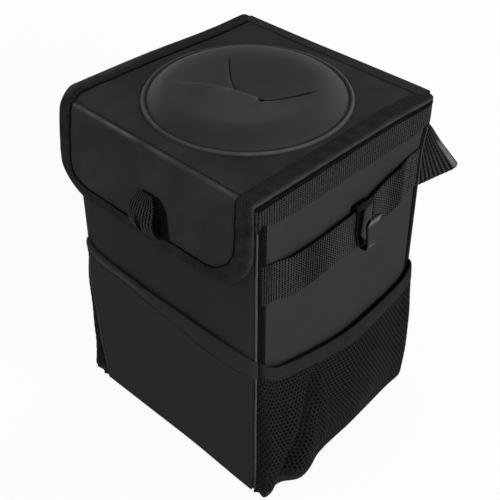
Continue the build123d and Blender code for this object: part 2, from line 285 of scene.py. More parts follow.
def cut_out(piece: Object, inside: Callable[[Vector], bool]) -> Object:
    """Takes away the faces whose middles lie inside a shape.

    Args:
        piece: The object.
        inside: Tells whether a point in millimetres lies inside.

    Returns:
        The same object.
    """

    def delete(work: BMesh) -> None:
        """Deletes the faces inside."""
        gone = [face for face in work.faces if inside(face.calc_center_median() / MM)]
        bmesh.ops.delete(work, geom=gone, context="FACES")

    return rework(piece, delete)


def grid(name: str, rows: list[Row]) -> Object:
    """A sheet through rows of points, with its cloth lengths as UV.

    Args:
        name: Name of the piece.
        rows: Rows with as many points each. Columns to the right and rows upwards face the viewer.

    Returns:
        The sheet, without thickness.
    """
    columns = len(rows[0])
    across = lengths(rows[len(rows) // 2])
    along = lengths([row[columns // 2] for row in rows])
    faces = []
    uvs = []
    for i in range(len(rows) - 1):
        for j in range(columns - 1):
            first = i * columns + j
            faces.append((first, first + 1, first + columns + 1, first + columns))
            low, high, left, right = along[i], along[i + 1], across[j], across[j + 1]
            uvs.append(((left, low), (right, low), (right, high), (left, high)))
    return rework(mesh_piece(name, [point for row in rows for point in row], faces, uvs), weld)


def mirrored(rows: list[Row]) -> list[Row]:
    """The rows with their points in the other order, so that a sheet faces the other way."""
    return [row[::-1] for row in rows]


def loft(name: str, sections: list[Row]) -> Object:
    """A closed skin over loops of points, with flat ends.

    Args:
        name: Name of the piece.
        sections: Loops with as many points each.

    Returns:
        The closed piece. Its UV runs along the loft, then round it.
    """
    count = len(sections[0])
    along = lengths([sum(section, Vector()) / count for section in sections])
    around = lengths(sections[0] + sections[0][:1])
    faces: list[tuple[int, ...]] = []
    uvs: list[tuple[tuple[float, float], ...]] = []
    for i in range(len(sections) - 1):
        for j in range(count):
            a, b = i * count + j, i * count + (j + 1) % count
            faces.append((a, b, b + count, a + count))
            left, right = around[j], around[j + 1]
            uvs.append(((along[i], left), (along[i], right), (along[i + 1], right), (along[i + 1], left)))
    for end in (0, len(sections) - 1):
        faces.append(tuple(end * count + j for j in range(count)))
        uvs.append(tuple((along[end], around[j]) for j in range(count)))
    return rework(mesh_piece(name, [point for section in sections for point in section], faces, uvs), close)


def freeze(piece: Object) -> Object:
    """Turns a piece's modifiers into plain mesh.

    Args:
        piece: The object.

    Returns:
        The same object.
    """
    graph = bpy.context.evaluated_depsgraph_get()
    mesh = bpy.data.meshes.new_from_object(piece.evaluated_get(graph))
    piece.modifiers.clear()
    piece.data = mesh
    return piece


def thicken(piece: Object, thickness: float, offset: float = -1.0) -> Object:
    """Gives a sheet its thickness.

    Args:
        piece: The sheet.
        thickness: In millimetres.
        offset: -1 behind the sheet, 1 in front of it.

    Returns:
        The same object, closed.
    """
    wall = piece.modifiers.new("thickness", "SOLIDIFY")
    wall.thickness = thickness * MM
    wall.offset = offset
    wall.use_even_offset = True
    return freeze(piece)


def rub(piece: Object, weight: Callable[[Vector], float]) -> Object:
    """Marks where a piece is painted paler: scuffed places, and painted highlights along folds and edges.

    Args:
        piece: The object.
        weight: Gives 0 to 1 at a point in millimetres.

    Returns:
        The same object.
    """
    layer = piece.data.attributes.new("rub", "FLOAT", "POINT")
    layer.data.foreach_set("value", [weight(vertex.co / MM) for vertex in piece.data.vertices])
    return piece


def add_node(
    tree: NodeTree, kind: str, inputs: dict | None = None, **settings: object
) -> Node:
    """Adds a node with its settings, values and links.

    Args:
        tree: Shader or geometry tree.
        kind: Type of the node.
        inputs: Sockets by name or number, each with a value, a socket, or a node whose first output feeds it.
        settings: Properties of the node.

    Returns:
        The node.
    """
    node = tree.nodes.new(kind)
    for key, value in settings.items():
        setattr(node, key, value)
    for key, value in (inputs or {}).items():
        if isinstance(value, Node):
            value = value.outputs[0]
        if isinstance(value, NodeSocket):
            tree.links.new(value, node.inputs[key])
        else:
            node.inputs[key].default_value = value
    return node


def bare_tree(owner: bpy.types.Material | bpy.types.World) -> NodeTree:
    """Empties the nodes of a material or world.

    Args:
        owner: The material or world.

    Returns:
        Its node tree.
    """
    owner.use_nodes = True
    owner.node_tree.nodes.clear()
    return owner.node_tree


def linear(code: str) -> Colour:
    """Linear colour of an sRGB hex code such as #28282a."""
    parts = [int(code[k:k + 2], 16) / 255 for k in (1, 3, 5)]
    return (*(c / 12.92 if c <= 0.04045 else ((c + 0.055) / 1.055) ** 2.4 for c in parts), 1.0)


@dataclass(frozen=True)
class Finish:
    """What every finish has.

    Attributes:
        name: Name of the material.
        colour: Colour of its raised parts, as sRGB hex.
        shade: Colour of its hollows, as sRGB hex.
        roughness: Roughness of the shader.
        specular: Level of the plain reflection.
        wear_and_highlight: Colour of scuffed places and of painted highlights, as sRGB hex.
        hollow: Height up to which the surface keeps the colour of its hollows.
    """

    name: str
    colour: str
    shade: str
    roughness: float
    specular: float
    wear_and_highlight: str = "#5c5c5c"
    hollow: float = 0.0

    def material(self) -> bpy.types.Material:
        """Builds the material.

        Returns:
            A material with the plain shader, dressed by the finish.
        """
        material = bpy.data.materials.new(self.name)
        tree = bare_tree(material)
        plain = {
            "Base Color": linear(self.colour),
            "Roughness": self.roughness,
            "Specular IOR Level": self.specular,
        }
        shader = add_node(tree, "ShaderNodeBsdfPrincipled", plain)
        add_node(tree, "ShaderNodeOutputMaterial", {"Surface": shader})
        height, relief = self.pattern(tree)
        ramp = add_node(tree, "ShaderNodeValToRGB", {"Fac": height})
        low, high = ramp.color_ramp.elements
        low.position = self.hollow
        low.color = linear(self.shade)
        high.color = linear(self.colour)
        bump = add_node(tree, "ShaderNodeBump", {"Height": height, "Strength": 1.0, "Distance": relief * MM})
        # Paler where a piece marks it: scuffs at the hem, and painted highlights along folds, edges and the
        # foam's lip.
        wear_and_highlight_mask = add_node(tree, "ShaderNodeAttribute", attribute_name="rub")
        mixed = {0: wear_and_highlight_mask.outputs["Fac"], 6: ramp, 7: linear(self.wear_and_highlight)}
        tint = add_node(tree, "ShaderNodeMix", mixed, data_type="RGBA")
        tree.links.new(tint.outputs[2], shader.inputs["Base Color"])
        tree.links.new(bump.outputs["Normal"], shader.inputs["Normal"])
        return material

    def pattern(self, tree: NodeTree) -> tuple[NodeSocket, float]:
        """Height of the surface from 0 to 1, and its relief in millimetres."""
        raise NotImplementedError


@dataclass(frozen=True)
class Woven(Finish):
    """Cloth of crossing threads: a checked relief on a dull surface.

    Attributes:
        threads: Spacing of the raised threads along U and V in millimetres.
        relief: Depth of the weave in millimetres.
        contrast: Share of the colour range that the weave takes.
        patch: Width of the slow uneven patches in millimetres.
    """

    threads: tuple[float, float] = (1.7, 1.7)
    relief: float = 0.2
    contrast: float = 0.6
    patch: float = 18.0

    def pattern(self, tree: NodeTree) -> tuple[NodeSocket, float]:
        """Threads that pass over and under each other, with slow uneven patches.

        Args:
            tree: The material's tree.

        Returns:
            The height from 0 to 1, and the relief in millimetres.
        """
        add = partial(add_node, tree)
        split = add("ShaderNodeSeparateXYZ", {"Vector": add("ShaderNodeUVMap", uv_map="UVMap")})
        waves = []
        for axis, spacing in zip("XY", self.threads):
            turn = add("ShaderNodeMath", {0: split.outputs[axis], 1: math.pi / spacing}, operation="MULTIPLY")
            waves.append(add("ShaderNodeMath", {0: turn}, operation="SINE"))
        check = add("ShaderNodeMath", {0: waves[0], 1: waves[1]}, operation="MULTIPLY")
        place = add("ShaderNodeTexCoord").outputs["Object"]
        slow = add("ShaderNodeTexNoise", {"Vector": place, "Scale": 1 / (self.patch * MM), "Detail": 4.0})
        mixed = {0: check, 1: self.contrast / 2, 2: slow}
        height = add("ShaderNodeMath", mixed, operation="MULTIPLY_ADD", use_clamp=True)
        return height.outputs[0], self.relief


@dataclass(frozen=True)
class Ribbed(Finish):
    """Webbing: ribs across its length, each broken by the crossing yarns.

    Attributes:
        rib: Spacing of the ribs in millimetres.
        yarn: Spacing of the yarns along a rib in millimetres.
        relief: Depth of the ribs in millimetres.
        depth: Share of the colour range that the ribs take.
        fuzz: Width of the uneven fibres in millimetres.
    """

    rib: float = 2.5
    yarn: float = 2.0
    relief: float = 0.35
    depth: float = 0.5
    fuzz: float = 1.4

    def pattern(self, tree: NodeTree) -> tuple[NodeSocket, float]:
        """Ribs that zigzag a little, as yarns pass over each other.

        Args:
            tree: The material's tree.

        Returns:
            The height from 0 to 1, and the relief in millimetres.
        """
        add = partial(add_node, tree)
        split = add("ShaderNodeSeparateXYZ", {"Vector": add("ShaderNodeUVMap", uv_map="UVMap")})
        across = {0: split.outputs["Y"], 1: 2 * math.pi / self.yarn}
        turn = add("ShaderNodeMath", across, operation="MULTIPLY")
        lean = add("ShaderNodeMath", {0: turn}, operation="SINE")
        along = {0: split.outputs["X"], 1: 2 * math.pi / self.rib, 2: lean}
        phase = add("ShaderNodeMath", along, operation="MULTIPLY_ADD")
        ribs = add("ShaderNodeMath", {0: phase}, operation="SINE")
        place = add("ShaderNodeTexCoord").outputs["Object"]
        fuzz = add("ShaderNodeTexNoise", {"Vector": place, "Scale": 1 / (self.fuzz * MM), "Detail": 3.0})
        mixed = {0: ribs, 1: self.depth, 2: fuzz}
        height = add("ShaderNodeMath", mixed, operation="MULTIPLY_ADD", use_clamp=True)
        return height.outputs[0], self.relief


@dataclass(frozen=True)
class Grained(Finish):
    """A skin with a fine even grain, such as moulded foam, board or plastic.

    Attributes:
        grain: Width of one grain in millimetres.
        relief: Depth of the grain in millimetres.
        detail: Number of finer grains that ride on it.
    """

    grain: float = 1.2
    relief: float = 0.08
    detail: float = 3.0

    def pattern(self, tree: NodeTree) -> tuple[NodeSocket, float]:
        """Noise of one grain size.

        Args:
            tree: The material's tree.

        Returns:
            The height from 0 to 1, and the relief in millimetres.
        """
        place = add_node(tree, "ShaderNodeTexCoord").outputs["Object"]
        sizes = {"Vector": place, "Scale": 1 / (self.grain * MM), "Detail": self.detail}
        return add_node(tree, "ShaderNodeTexNoise", sizes).outputs[0], self.relief


class Surface(Enum):
    """The finishes of the bin. The weave is drawn coarser than its threads, so that its dots show."""

    # Polyester Oxford cloth, plain woven and dyed black: a matt, slightly cool face. Its paler colour marks
    # scuffs at the hem and paints a highlight along the front pocket's folded edge.
    PANEL_CLOTH = Woven(
        "oxford_cloth_panels", "#2c2c2d", "#242425", 0.85, 0.05,
        threads=(0.9, 0.9), relief=0.05, contrast=0.35, patch=30.0,
    )
    # The same cloth in a heavier yarn, as its dots show on the lid. Its paler colour paints the highlight
    # along the fold.
    LID_CLOTH = Woven(
        "oxford_cloth_lid", "#3a3a3a", "#1c1c1c", 0.85, 0.04,
        threads=(0.8, 0.8), relief=0.07, contrast=0.5, patch=26.0, wear_and_highlight="#666666",
    )
    # Woven polyester tape: closer and duller than the cloth that it binds. Its paler colour paints a
    # highlight along the top of the lid's sides.
    TAPE = Woven(
        "woven_binding_tape", "#2f2f30", "#0a0a0b", 0.88, 0.04,
        threads=(0.8, 1.1), relief=0.1, contrast=0.5, patch=7.0,
    )
    # Grosgrain over the upright seams: a close rib that hardly catches the light. Its near-black colour also
    # paints shade: in the gap beside the piping, under the lid's edge at the mouth, and along the binding's
    # inner edge.
    SEAM_TAPE = Woven(
        "grosgrain_seam_tape", "#0f0f10", "#050506", 0.9, 0.02,
        threads=(1.0, 1.8), relief=0.1, contrast=0.6, patch=9.0,
    )
    # Corded edge, painted a lighter grey as the highlight that it catches at the corner.
    PIPING = Woven(
        "corded_piping", "#4a4a4c", "#2e2e30", 0.65, 0.12,
        threads=(1.0, 1.0), relief=0.08, contrast=0.5, patch=8.0,
    )
    # Polypropylene webbing, ribbed across: small bright ribs over dark gaps. Its paler colour paints the
    # highlight down the hanging strap's folds.
    WEBBING = Ribbed(
        "ribbed_webbing", "#363637", "#010101", 0.75, 0.05,
        wear_and_highlight="#686868", hollow=0.42, rib=2.2, yarn=1.9, depth=0.65,
    )
    # Brushed webbing folded over the mouth: ribs blurred by their fibres.
    FUZZY_WEBBING = Ribbed(
        "brushed_webbing", "#363637", "#030303", 0.9, 0.04,
        hollow=0.12, rib=2.0, yarn=1.7, relief=0.4, depth=0.4,
    )
    # Knitted polyester net: dull yarn with a little grain.
    NET = Grained("knitted_net", "#1e1e1f", "#0a0a0b", 0.85, 0.04, grain=1.0, relief=0.12)
    # Elastic tape over the net's edge, with a slight gloss where it is stretched.
    ELASTIC = Woven(
        "elastic_tape", "#222223", "#0e0e0f", 0.8, 0.06,
        threads=(1.1, 1.6), relief=0.12, contrast=0.6, patch=5.0,
    )
    # Moulded foam with a laminated skin: satin, with an almost smooth grain. Its paler colour paints the
    # highlight at the front petal's lip, and the pale ring round the flange.
    FOAM = Grained(
        "moulded_foam_skin", "#2c2c2c", "#262626", 0.62, 0.09, wear_and_highlight="#545454", grain=0.9, relief=0.03,
    )
    # Acetal, injection moulded: hard and glossy, with a faint flow in its skin.
    PLASTIC = Grained("acetal_moulding", "#070708", "#030304", 0.15, 0.1, grain=6.0, relief=0.02)
    # Nylon hook and loop: a dense dull pile. Its near-black colour also paints the shade inside the pull
    # loop.
    PILE = Grained("nylon_pile", "#121212", "#030303", 0.95, 0.03, grain=0.8, relief=0.4)
    # Coated lining cloth: smoother and a little shinier than the outer cloth.
    LINING = Woven(
        "coated_lining", "#2a2a2b", "#222223", 0.7, 0.06,
        threads=(0.8, 0.8), relief=0.04, contrast=0.3, patch=40.0,
    )
    # Pressed board: a grey fibrous face.
    BOARD = Grained("pressed_board", "#444444", "#363636", 0.8, 0.2, grain=2.0, relief=0.06)
    # Black polyester sewing thread, twisted and slightly shiny.
    THREAD = Grained("sewing_thread", "#171718", "#0a0a0b", 0.6, 0.08, grain=0.6, relief=0.05)


@dataclass(frozen=True)
class Stance:
    """How the soft box stands, never quite square, with its pushes along X and Y.

    Attributes:
        back_corner: Push of the right back corner at the mouth.
        front_foot: Push of the right front corner at the ground.
        left_tuck: How far the left front corner draws in at the ground.
        left_bulge: How far it stands out halfway up.
    """

    back_corner: tuple[float, float] = (2.2, 0.9)
    front_foot: tuple[float, float] = (1.6, -1.9)
    left_tuck: float = 3.2
    left_bulge: Bump = Bump(92, 24, 3.6)

    def settle(self, piece: Object) -> None:
        """Pushes a piece with the corners of the box, each fading towards the middle.

        Args:
            piece: The object, still where the plain sizes put it.
        """
        for vertex in piece.data.vertices:
            p = vertex.co / MM
            top = ease(40, 80, p.x) * ease(35, 79, p.y) * ease(202, 234, p.z)
            foot = ease(10, 80, p.x) * ease(-20, -78, p.y) * ease(45, 0, p.z)
            left = ease(-50, -80, p.x) * ease(-40, -79, p.y)
            tuck = left * (self.left_tuck * ease(40, 8, p.z) - self.left_bulge(p.z))
            push_x = self.back_corner[0] * top + self.front_foot[0] * foot + tuck
            push_y = self.back_corner[1] * top + self.front_foot[1] * foot
            vertex.co = (p + Vector((push_x, push_y, 0))) * MM


@dataclass(frozen=True)
class Bend:
    """Where cloth bends from one body to the next, between two places in millimetres."""

    before: str
    after: str
    start: Vector
    end: Vector


class Workshop:
    """Holds the materials and the sewing, and puts each piece on its body."""

    def __init__(self) -> None:
        """Builds every finish once."""
        self.materials = {surface: surface.value.material() for surface in Surface}
        self.stance = Stance()
        self.seams: dict[str, list[Row]] = {}

    def coat(self, piece: Object, surface: Surface) -> None:
        """Settles a piece with the box and gives it its material and smooth shading.

        Args:
            piece: The object.
            surface: Its finish.
        """
        self.stance.settle(piece)
        piece.data.materials.clear()
        piece.data.materials.append(self.materials[surface])
        piece.data.shade_smooth()
        piece.data.set_sharp_from_angle(angle=math.radians(SHARP_DEG))

    def fit(
        self, piece: Object, surface: Surface, holder: str | Bend, slot: str, stands_for: tuple[str, ...] = ()
    ) -> None:
        """Finishes a piece and puts it on its body, or leaves it where it lies if it spans a joint.

        Args:
            piece: The object.
            surface: Its finish.
            holder: The body that it rides on, or the bend across a joint.
            slot: The record's material slot; not used.
            stands_for: CAD nodes that it replaces.
        """
        self.coat(piece, surface)
        if isinstance(holder, Bend):
            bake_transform(piece)
        else:
            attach(piece, holder)
        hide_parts(*stands_for)
        log.info("%s: %d faces", piece.name, len(piece.data.polygons))

    def sew(self, body: str, line: Row) -> None:
        """Notes a line of stitches on a body."""
        self.seams.setdefault(body, []).append(line)


@dataclass(frozen=True)
class BinFrame:
    """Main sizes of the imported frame, in millimetres."""

    half_width: float
    half_depth: float
    wall_top: float
    mouth_top: float
    mouth_tape_low: float
    lid_half: float
    lid_under: float
    lid_top: float
    flap_face: float
    flap_bottom: float
    hinge: Vector
    mouth_centre: Vector
    mouth_radius: float

    @staticmethod
    def corners(node: str) -> tuple[Vector, Vector]:
        """Lowest and highest corner of a node in millimetres."""
        low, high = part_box(node)
        return low / MM, high / MM

    @classmethod
    def read(cls, joints: list[dict]) -> BinFrame:
        """Reads the sizes from the frame.

        Args:
            joints: Joints of the frame, for the hinge of the lid.

        Returns:
            The sizes.
        """
        hinge = next(joint for joint in joints if joint["name"] == "lid_hinge")
        base = cls.corners("base_panel")[1]
        tape_low, tape_high = cls.corners("mouth_tape")
        lining_low, lining_high = cls.corners("lid_lining")
        flap_low = cls.corners("flap_cover")[0]
        foam_low, foam_high = cls.corners("foam_mouth")
        return cls(
            half_width=base.x,
            half_depth=base.y,
            wall_top=cls.corners("front_panel")[1].z,
            mouth_top=tape_high.z,
            mouth_tape_low=tape_low.z,
            lid_half=lining_high.x,
            lid_under=lining_low.z,
            lid_top=cls.corners("lid_cover")[1].z,
            flap_face=flap_low.y,
            flap_bottom=flap_low.z,
            hinge=Vector(hinge["pos_m"]) / MM,
            mouth_centre=Vector(((foam_low.x + foam_high.x) / 2, (foam_low.y + foam_high.y) / 2, foam_low.z)),
            mouth_radius=(foam_high.x - foam_low.x) / 2,
        )


@dataclass(frozen=True)
class Outline:
    """Rounded rectangle seen from above, walked anticlockwise from the middle of the back."""

    half_x: float
    half_y: float
    radius: float

    def walk(self, step: float = 4.0, turn: int = 6) -> list[tuple[Vector, Vector]]:
        """Points round the outline, each with its outward direction.

        Args:
            step: Spacing on the flat walls.
            turn: Steps round each corner.

        Returns:
            Pairs of point and direction. The last repeats the first.
        """
        marks = [(Vector((0, self.half_y, 0)), Vector((0, 1, 0)))]
        for sign_x, sign_y, start in ((-1, 1, 90), (-1, -1, 180), (1, -1, 270), (1, 1, 0)):
            middle = Vector((sign_x * (self.half_x - self.radius), sign_y * (self.half_y - self.radius), 0))
            for k in range(turn + 1):
                away = toward(math.radians(start + 90 * k / turn))
                marks.append((middle + away * self.radius, away))
        marks.append(marks[0])
        found = marks[:1]
        for (last, _), (point, away) in zip(marks, marks[1:]):
            count = max(1, round((point - last).length / step))
            found += [(last.lerp(point, k / count), away) for k in range(1, count + 1)]
        return found


@dataclass(frozen=True)
class Lamp:
    """A soft square lamp that faces the bin."""

    name: str
    place: tuple[float, float, float]
    width: float
    watts: float


@dataclass
class Stage:
    """Camera, floor and light, as in a plain product picture."""

    camera_place: tuple[float, float, float] = (388.7, -404.7, 577.4)
    azimuth_deg: float = 43.85
    elevation_deg: float = 39.07
    lens: float = 73.82
    sensor: float = 36.0
    lamps: tuple[Lamp, ...] = (
        Lamp("key_right", (1500, -150, 700), 900, 27.0),
        Lamp("fill_front", (-700, -1500, 900), 1100, 6.0),
        Lamp("back_top", (-300, 1300, 900), 800, 4.0),
        Lamp("fill_left", (-1500, 200, 250), 900, 9.0),
        Lamp("fill_back", (100, 1600, 250), 900, 6.0),
    )
    aim_height: float = 130.0
    ambient: float = 0.28
    floor_half: float = 3000.0
    floor_white: float = 0.93

    def build(self) -> None:
        """Makes the camera, the lamps, the world and the floor."""
        scene = bpy.context.scene
        scene.view_settings.view_transform = "Standard"
        camera = bpy.data.cameras.new("camera")
        camera.sensor_width = self.sensor
        camera.lens = self.lens
        camera.clip_start = 0.01
        turn, tilt = math.radians(self.azimuth_deg), math.radians(self.elevation_deg)
        ahead = Vector((-math.sin(turn) * math.cos(tilt), math.cos(turn) * math.cos(tilt), -math.sin(tilt)))
        scene.camera = link("camera", camera)
        self.aim(scene.camera, Vector(self.camera_place), ahead)
        for lamp in self.lamps:
            light = bpy.data.lights.new(lamp.name, "AREA")
            light.size = lamp.width * MM
            light.energy = lamp.watts
            place = Vector(lamp.place)
            self.aim(link(lamp.name, light), place, up(self.aim_height) - place)
        self.light_world()
        self.lay_floor()

    @staticmethod
    def aim(thing: Object, place: Vector, ahead: Vector) -> None:
        """Stands a camera or a lamp at a place.

        Args:
            thing: The camera or lamp.
            place: Where it stands.
            ahead: The direction that it faces.
        """
        thing.location = place * MM
        thing.rotation_mode = "QUATERNION"
        thing.rotation_quaternion = ahead.to_track_quat("-Z", "Y")

    def light_world(self) -> None:
        """White where the camera and reflections see it, and a softer light elsewhere."""
        world = bpy.data.worlds.new("studio")
        tree = bare_tree(world)
        soft = add_node(tree, "ShaderNodeBackground", {"Color": linear("#ffffff"), "Strength": self.ambient})
        white = add_node(tree, "ShaderNodeBackground", {"Color": linear("#ffffff"), "Strength": 1.0})
        mix = add_node(tree, "ShaderNodeMixShader", {0: self.seen_ray(tree), 1: soft, 2: white})
        add_node(tree, "ShaderNodeOutputWorld", {"Surface": mix})
        bpy.context.scene.world = world

    @staticmethod
    def seen_ray(tree: NodeTree) -> NodeSocket:
        """Tells which rays show the background: to the camera, in reflections and through clear things.

        Args:
            tree: The tree of the world or the floor.

        Returns:
            A socket that gives 1 for such rays and 0 for others.
        """
        path = add_node(tree, "ShaderNodeLightPath")
        seen = path.outputs["Is Camera Ray"]
        for kind in ("Is Glossy Ray", "Is Transmission Ray"):
            either = add_node(tree, "ShaderNodeMath", {0: seen, 1: path.outputs[kind]}, operation="MAXIMUM")
            seen = either.outputs[0]
        return seen

    def lay_floor(self) -> None:
        """A pale floor that keeps the bin's soft shadow."""
        edges = (-self.floor_half, 0, self.floor_half)
        floor = grid("floor", [[Vector((x, y, 0)) for x in edges] for y in edges])
        material = bpy.data.materials.new("pale_floor")
        tree = bare_tree(material)
        seen = {0: self.seen_ray(tree), 1: self.floor_white}
        share = add_node(tree, "ShaderNodeMath", seen, operation="MULTIPLY")
        matt = add_node(tree, "ShaderNodeBsdfDiffuse", {"Color": linear("#f2f2f2")})
        white = add_node(tree, "ShaderNodeEmission", {"Color": linear("#ffffff"), "Strength": 1.0})
        mix = add_node(tree, "ShaderNodeMixShader", {0: share, 1: matt, 2: white})
        add_node(tree, "ShaderNodeOutputMaterial", {"Surface": mix})
        floor.data.materials.append(material)


@dataclass
class Assembly:
    """A part of the bin that is made together, from the sizes of the frame and the workshop's materials."""

    frame: BinFrame
    shop: Workshop


@dataclass
class BoxShell(Assembly):
    """The upright box: outer cloth, liner, mouth tape, a strip of painted shadow at the mouth's edge, and
    corner tapes.
    """

    corner_radius: float = 5.0
    hem_radius: float = 1.6
    cloth: float = 0.7
    wall_bow: float = 0.8
    dent: float = 0.35
    dent_width: float = 55.0
    foot_wear: float = 0.25
    lining: float = 0.4
    liner_corner: float = 3.0
    liner_crease: float = 1.3
    mouth_tape: float = 0.8
    tape_inner_leg: float = 12.0
    mouth_corner: float = 3.4
    shadow_drop: float = 2.6
    shadow_strip_thick: float = 0.3
    edge_gap: float = 0.2
    tape_rise_at_ends: float = 8.0
    corner_tape: float = 0.75
    side_leg: float = 7.0
    seam_inset: float = 1.4
    piping_radius: float = 0.75
    piping_turn_deg: float = 42.0
    piping_stray_deg: float = 2.5

    def swell(self, point: Vector, away: Vector, z: float) -> float:
        """How far a wall's cloth stands out, nothing at the corners.

        Args:
            point: Place on the outline.
            away: Outward direction there.
            z: Height.

        Returns:
            The distance in millimetres.
        """
        if max(abs(away.x), abs(away.y)) <= 0.99:
            return 0.0
        along = abs(point.y) / self.frame.half_depth
        if abs(away.y) > 0.9:
            along = abs(point.x) / self.frame.half_width
        lift = math.sin(math.pi * within(z / self.frame.wall_top))
        dent = self.dent * wobble(Vector((point.x, point.y, z)), self.dent_width, 3.0)
        return (1 - along**6) * lift * (self.wall_bow + dent)

    def build(self) -> None:
        """Makes the pieces of the box."""
        self.outer_cloth()
        self.liner()
        self.tape_mouth()
        # Painted shadow under the lid's edge.
        self.paint_mouth_shadow()
        for sign_x, across in ((1, "right"), (-1, "left")):
            for sign_y, along in ((-1, "front"), (1, "back")):
                self.tape_corner(sign_x, sign_y, f"{along}_{across}")

    def outer_cloth(self) -> None:
        """Cloth over the boards, with a round hem at the ground."""
        frame = self.frame
        walk = Outline(frame.half_width, frame.half_depth, self.corner_radius).walk()
        rows = [[Vector((p.x * share, p.y * share, 0)) for p, _ in walk] for share in (0, 0.35, 0.7, 0.9)]
        for angle in steps(0, math.pi / 2, 5):
            inset = self.hem_radius * (1 - math.sin(angle))
            z = self.hem_radius * (1 - math.cos(angle))
            rows.append([p - n * inset + up(z) for p, n in walk])
        for z in steps(self.hem_radius, frame.wall_top, 56)[1:]:
            rows.append([p + n * self.swell(p, n, z) + up(z) for p, n in walk])
        piece = rub(thicken(grid("outer_cloth", rows), self.cloth), self.hem_wear)
        panels = ("front_panel", "right_panel", "back_panel", "left_panel", "base_panel")
        self.shop.fit(piece, Surface.PANEL_CLOTH, "bin", "outer_cloth", panels)

    def hem_wear(self, point: Vector) -> float:
        """How far the cloth is scuffed: pale patches just above the ground."""
        patch = 0.5 + wobble(point, 7.0, 51.0)
        return self.foot_wear * ease(4.5, 1.0, point.z) * patch if point.z > 0.4 else 0.0

    def liner(self) -> None:
        """The bag inside, drawn into shallow upright creases."""
        low, high = BinFrame.corners("liner")
        walk = Outline(high.x, high.y, self.liner_corner).walk()
        floor = low.z + self.lining
        rows = []
        for z in steps(high.z, floor, 40):
            crease = self.liner_crease * ease(high.z, high.z - 40, z) * ease(floor, floor + 25, z)
            row = []
            for p, n in walk:
                fold = 0.5 + 0.5 * wobble(Vector((p.x, p.y, z * 0.18)), 16.0, 7.0)
                row.append(p - n * (self.lining + crease * fold) + up(z))
            rows.append(row)
        for share in (0.9, 0.6, 0.3, 0):
            rows.append([Vector((p.x * share, p.y * share, floor)) for p, _ in walk])
        piece = thicken(grid("liner_bag", mirrored(rows)), self.lining)
        self.shop.fit(piece, Surface.LINING, "bin", "lining", ("liner",))

    def mouth_walk(self) -> list[tuple[Vector, Vector]]:
        """Points round the mouth, each with its outward direction."""
        return Outline(self.frame.half_width, self.frame.half_depth, self.mouth_corner).walk(2.0)

    def tape_mouth(self) -> None:
        """Brushed tape folded over the mouth, longer outside, its edge lifting at the corners."""
        frame, top = self.frame, self.frame.mouth_top
        walk = self.mouth_walk()
        inner = -(BinFrame.corners("mouth_tape")[1].x - BinFrame.corners("liner")[1].x) - self.lining
        rows: list[Row] = []
        for share in steps(0, 1, 9):
            row = []
            for p, n in walk:
                wide, deep = abs(p.x) / frame.half_width * abs(n.y), abs(p.y) / frame.half_depth * abs(n.x)
                edge = frame.mouth_tape_low - 1.0 + self.tape_rise_at_ends * min(1.0, max(wide, deep)) ** 8
                edge += 0.8 * wobble(p, 14.0, 5.0)
                z = edge + (top - self.mouth_tape - edge) * share
                row.append(p + n * (self.mouth_tape + self.swell(p, n, z)) + up(z))
            rows.append(row)
        section = [(self.mouth_tape * 0.7, top - 0.25), (0.0, top), (inner * 0.5, top), (inner, top - 0.4)]
        section += [(inner, z) for z in steps(top - self.mouth_tape, frame.wall_top - self.tape_inner_leg, 5)]
        rows += [[p + n * offset + up(z) for p, n in walk] for offset, z in section]
        piece = thicken(grid("mouth_tape_folded", rows), self.mouth_tape * 0.9)
        self.shop.fit(piece, Surface.FUZZY_WEBBING, "bin", "webbing", ("mouth_tape",))

    def paint_mouth_shadow(self) -> None:
        """Painted shadow: a narrow near-black strip along the mouth's edge, under the lid's edge, a little
        wider at the front.
        """
        walk, top = self.mouth_walk(), self.frame.mouth_top
        rows = []
        for share in steps(0, 1, 5):
            row = []
            for p, n in walk:
                drop = self.shadow_drop * (1 + 0.3 * wobble(p, 12.0, 6.0) - 0.004 * p.y)
                rise = up(top - self.edge_gap - drop * (1 - share))
                row.append(p + n * (self.mouth_tape + self.edge_gap) + rise)
            rows.append(row)
        rows.append([p + n * self.edge_gap + up(top + 0.25) for p, n in walk])
        edge = thicken(grid("mouth_edge_tape", rows), self.shadow_strip_thick)
        self.shop.fit(edge, Surface.SEAM_TAPE, "bin", "binding_tape")

    def tape_corner(self, sign_x: int, sign_y: int, place: str) -> None:
        """Tape round one upright seam, with a corded edge on the front or back side.

        Args:
            sign_x: 1 on the right, -1 on the left.
            sign_y: -1 at the front, 1 at the back.
            place: Name of the corner.
        """
        frame, radius = self.frame, self.corner_radius
        middle = Vector((sign_x * (frame.half_width - radius), sign_y * (frame.half_depth - radius), 0))

        def spot(degrees: float, run: float, lift: float) -> Vector:
            """Point at the ground, at a turn from the front or back, then a run along the side, at a lift."""
            out = toward(math.radians(degrees)) * (radius + lift)
            return middle + Vector((sign_x * out.y, sign_y * (out.x - run), 0))

        stations = [(angle, 0.0) for angle in steps(self.piping_turn_deg, 90, 8)]
        stations += [(90.0, run) for run in steps(0, self.side_leg - radius, 4)[1:]]
        turns = [2 * math.pi * k / 8 for k in range(8)]
        sections = []
        beads = []
        levels = steps(0.25, frame.mouth_tape_low + 4, 90)
        for z in levels:
            rise = up(z)
            lift = self.corner_tape + 0.15 * wobble(rise, 9.0, sign_x + 2.0 * sign_y)
            outer = [spot(angle, run, lift) + rise for angle, run in stations]
            inner = [spot(angle, run, 0.02) + rise for angle, run in reversed(stations)]
            sections.append(outer + inner)
            core = self.piping_turn_deg + self.piping_stray_deg * wobble(rise, 40.0, 9.0 + sign_x)
            heart = spot(core, 0, self.piping_radius * 0.8) + rise
            beads.append([heart + toward(angle) * self.piping_radius for angle in turns])
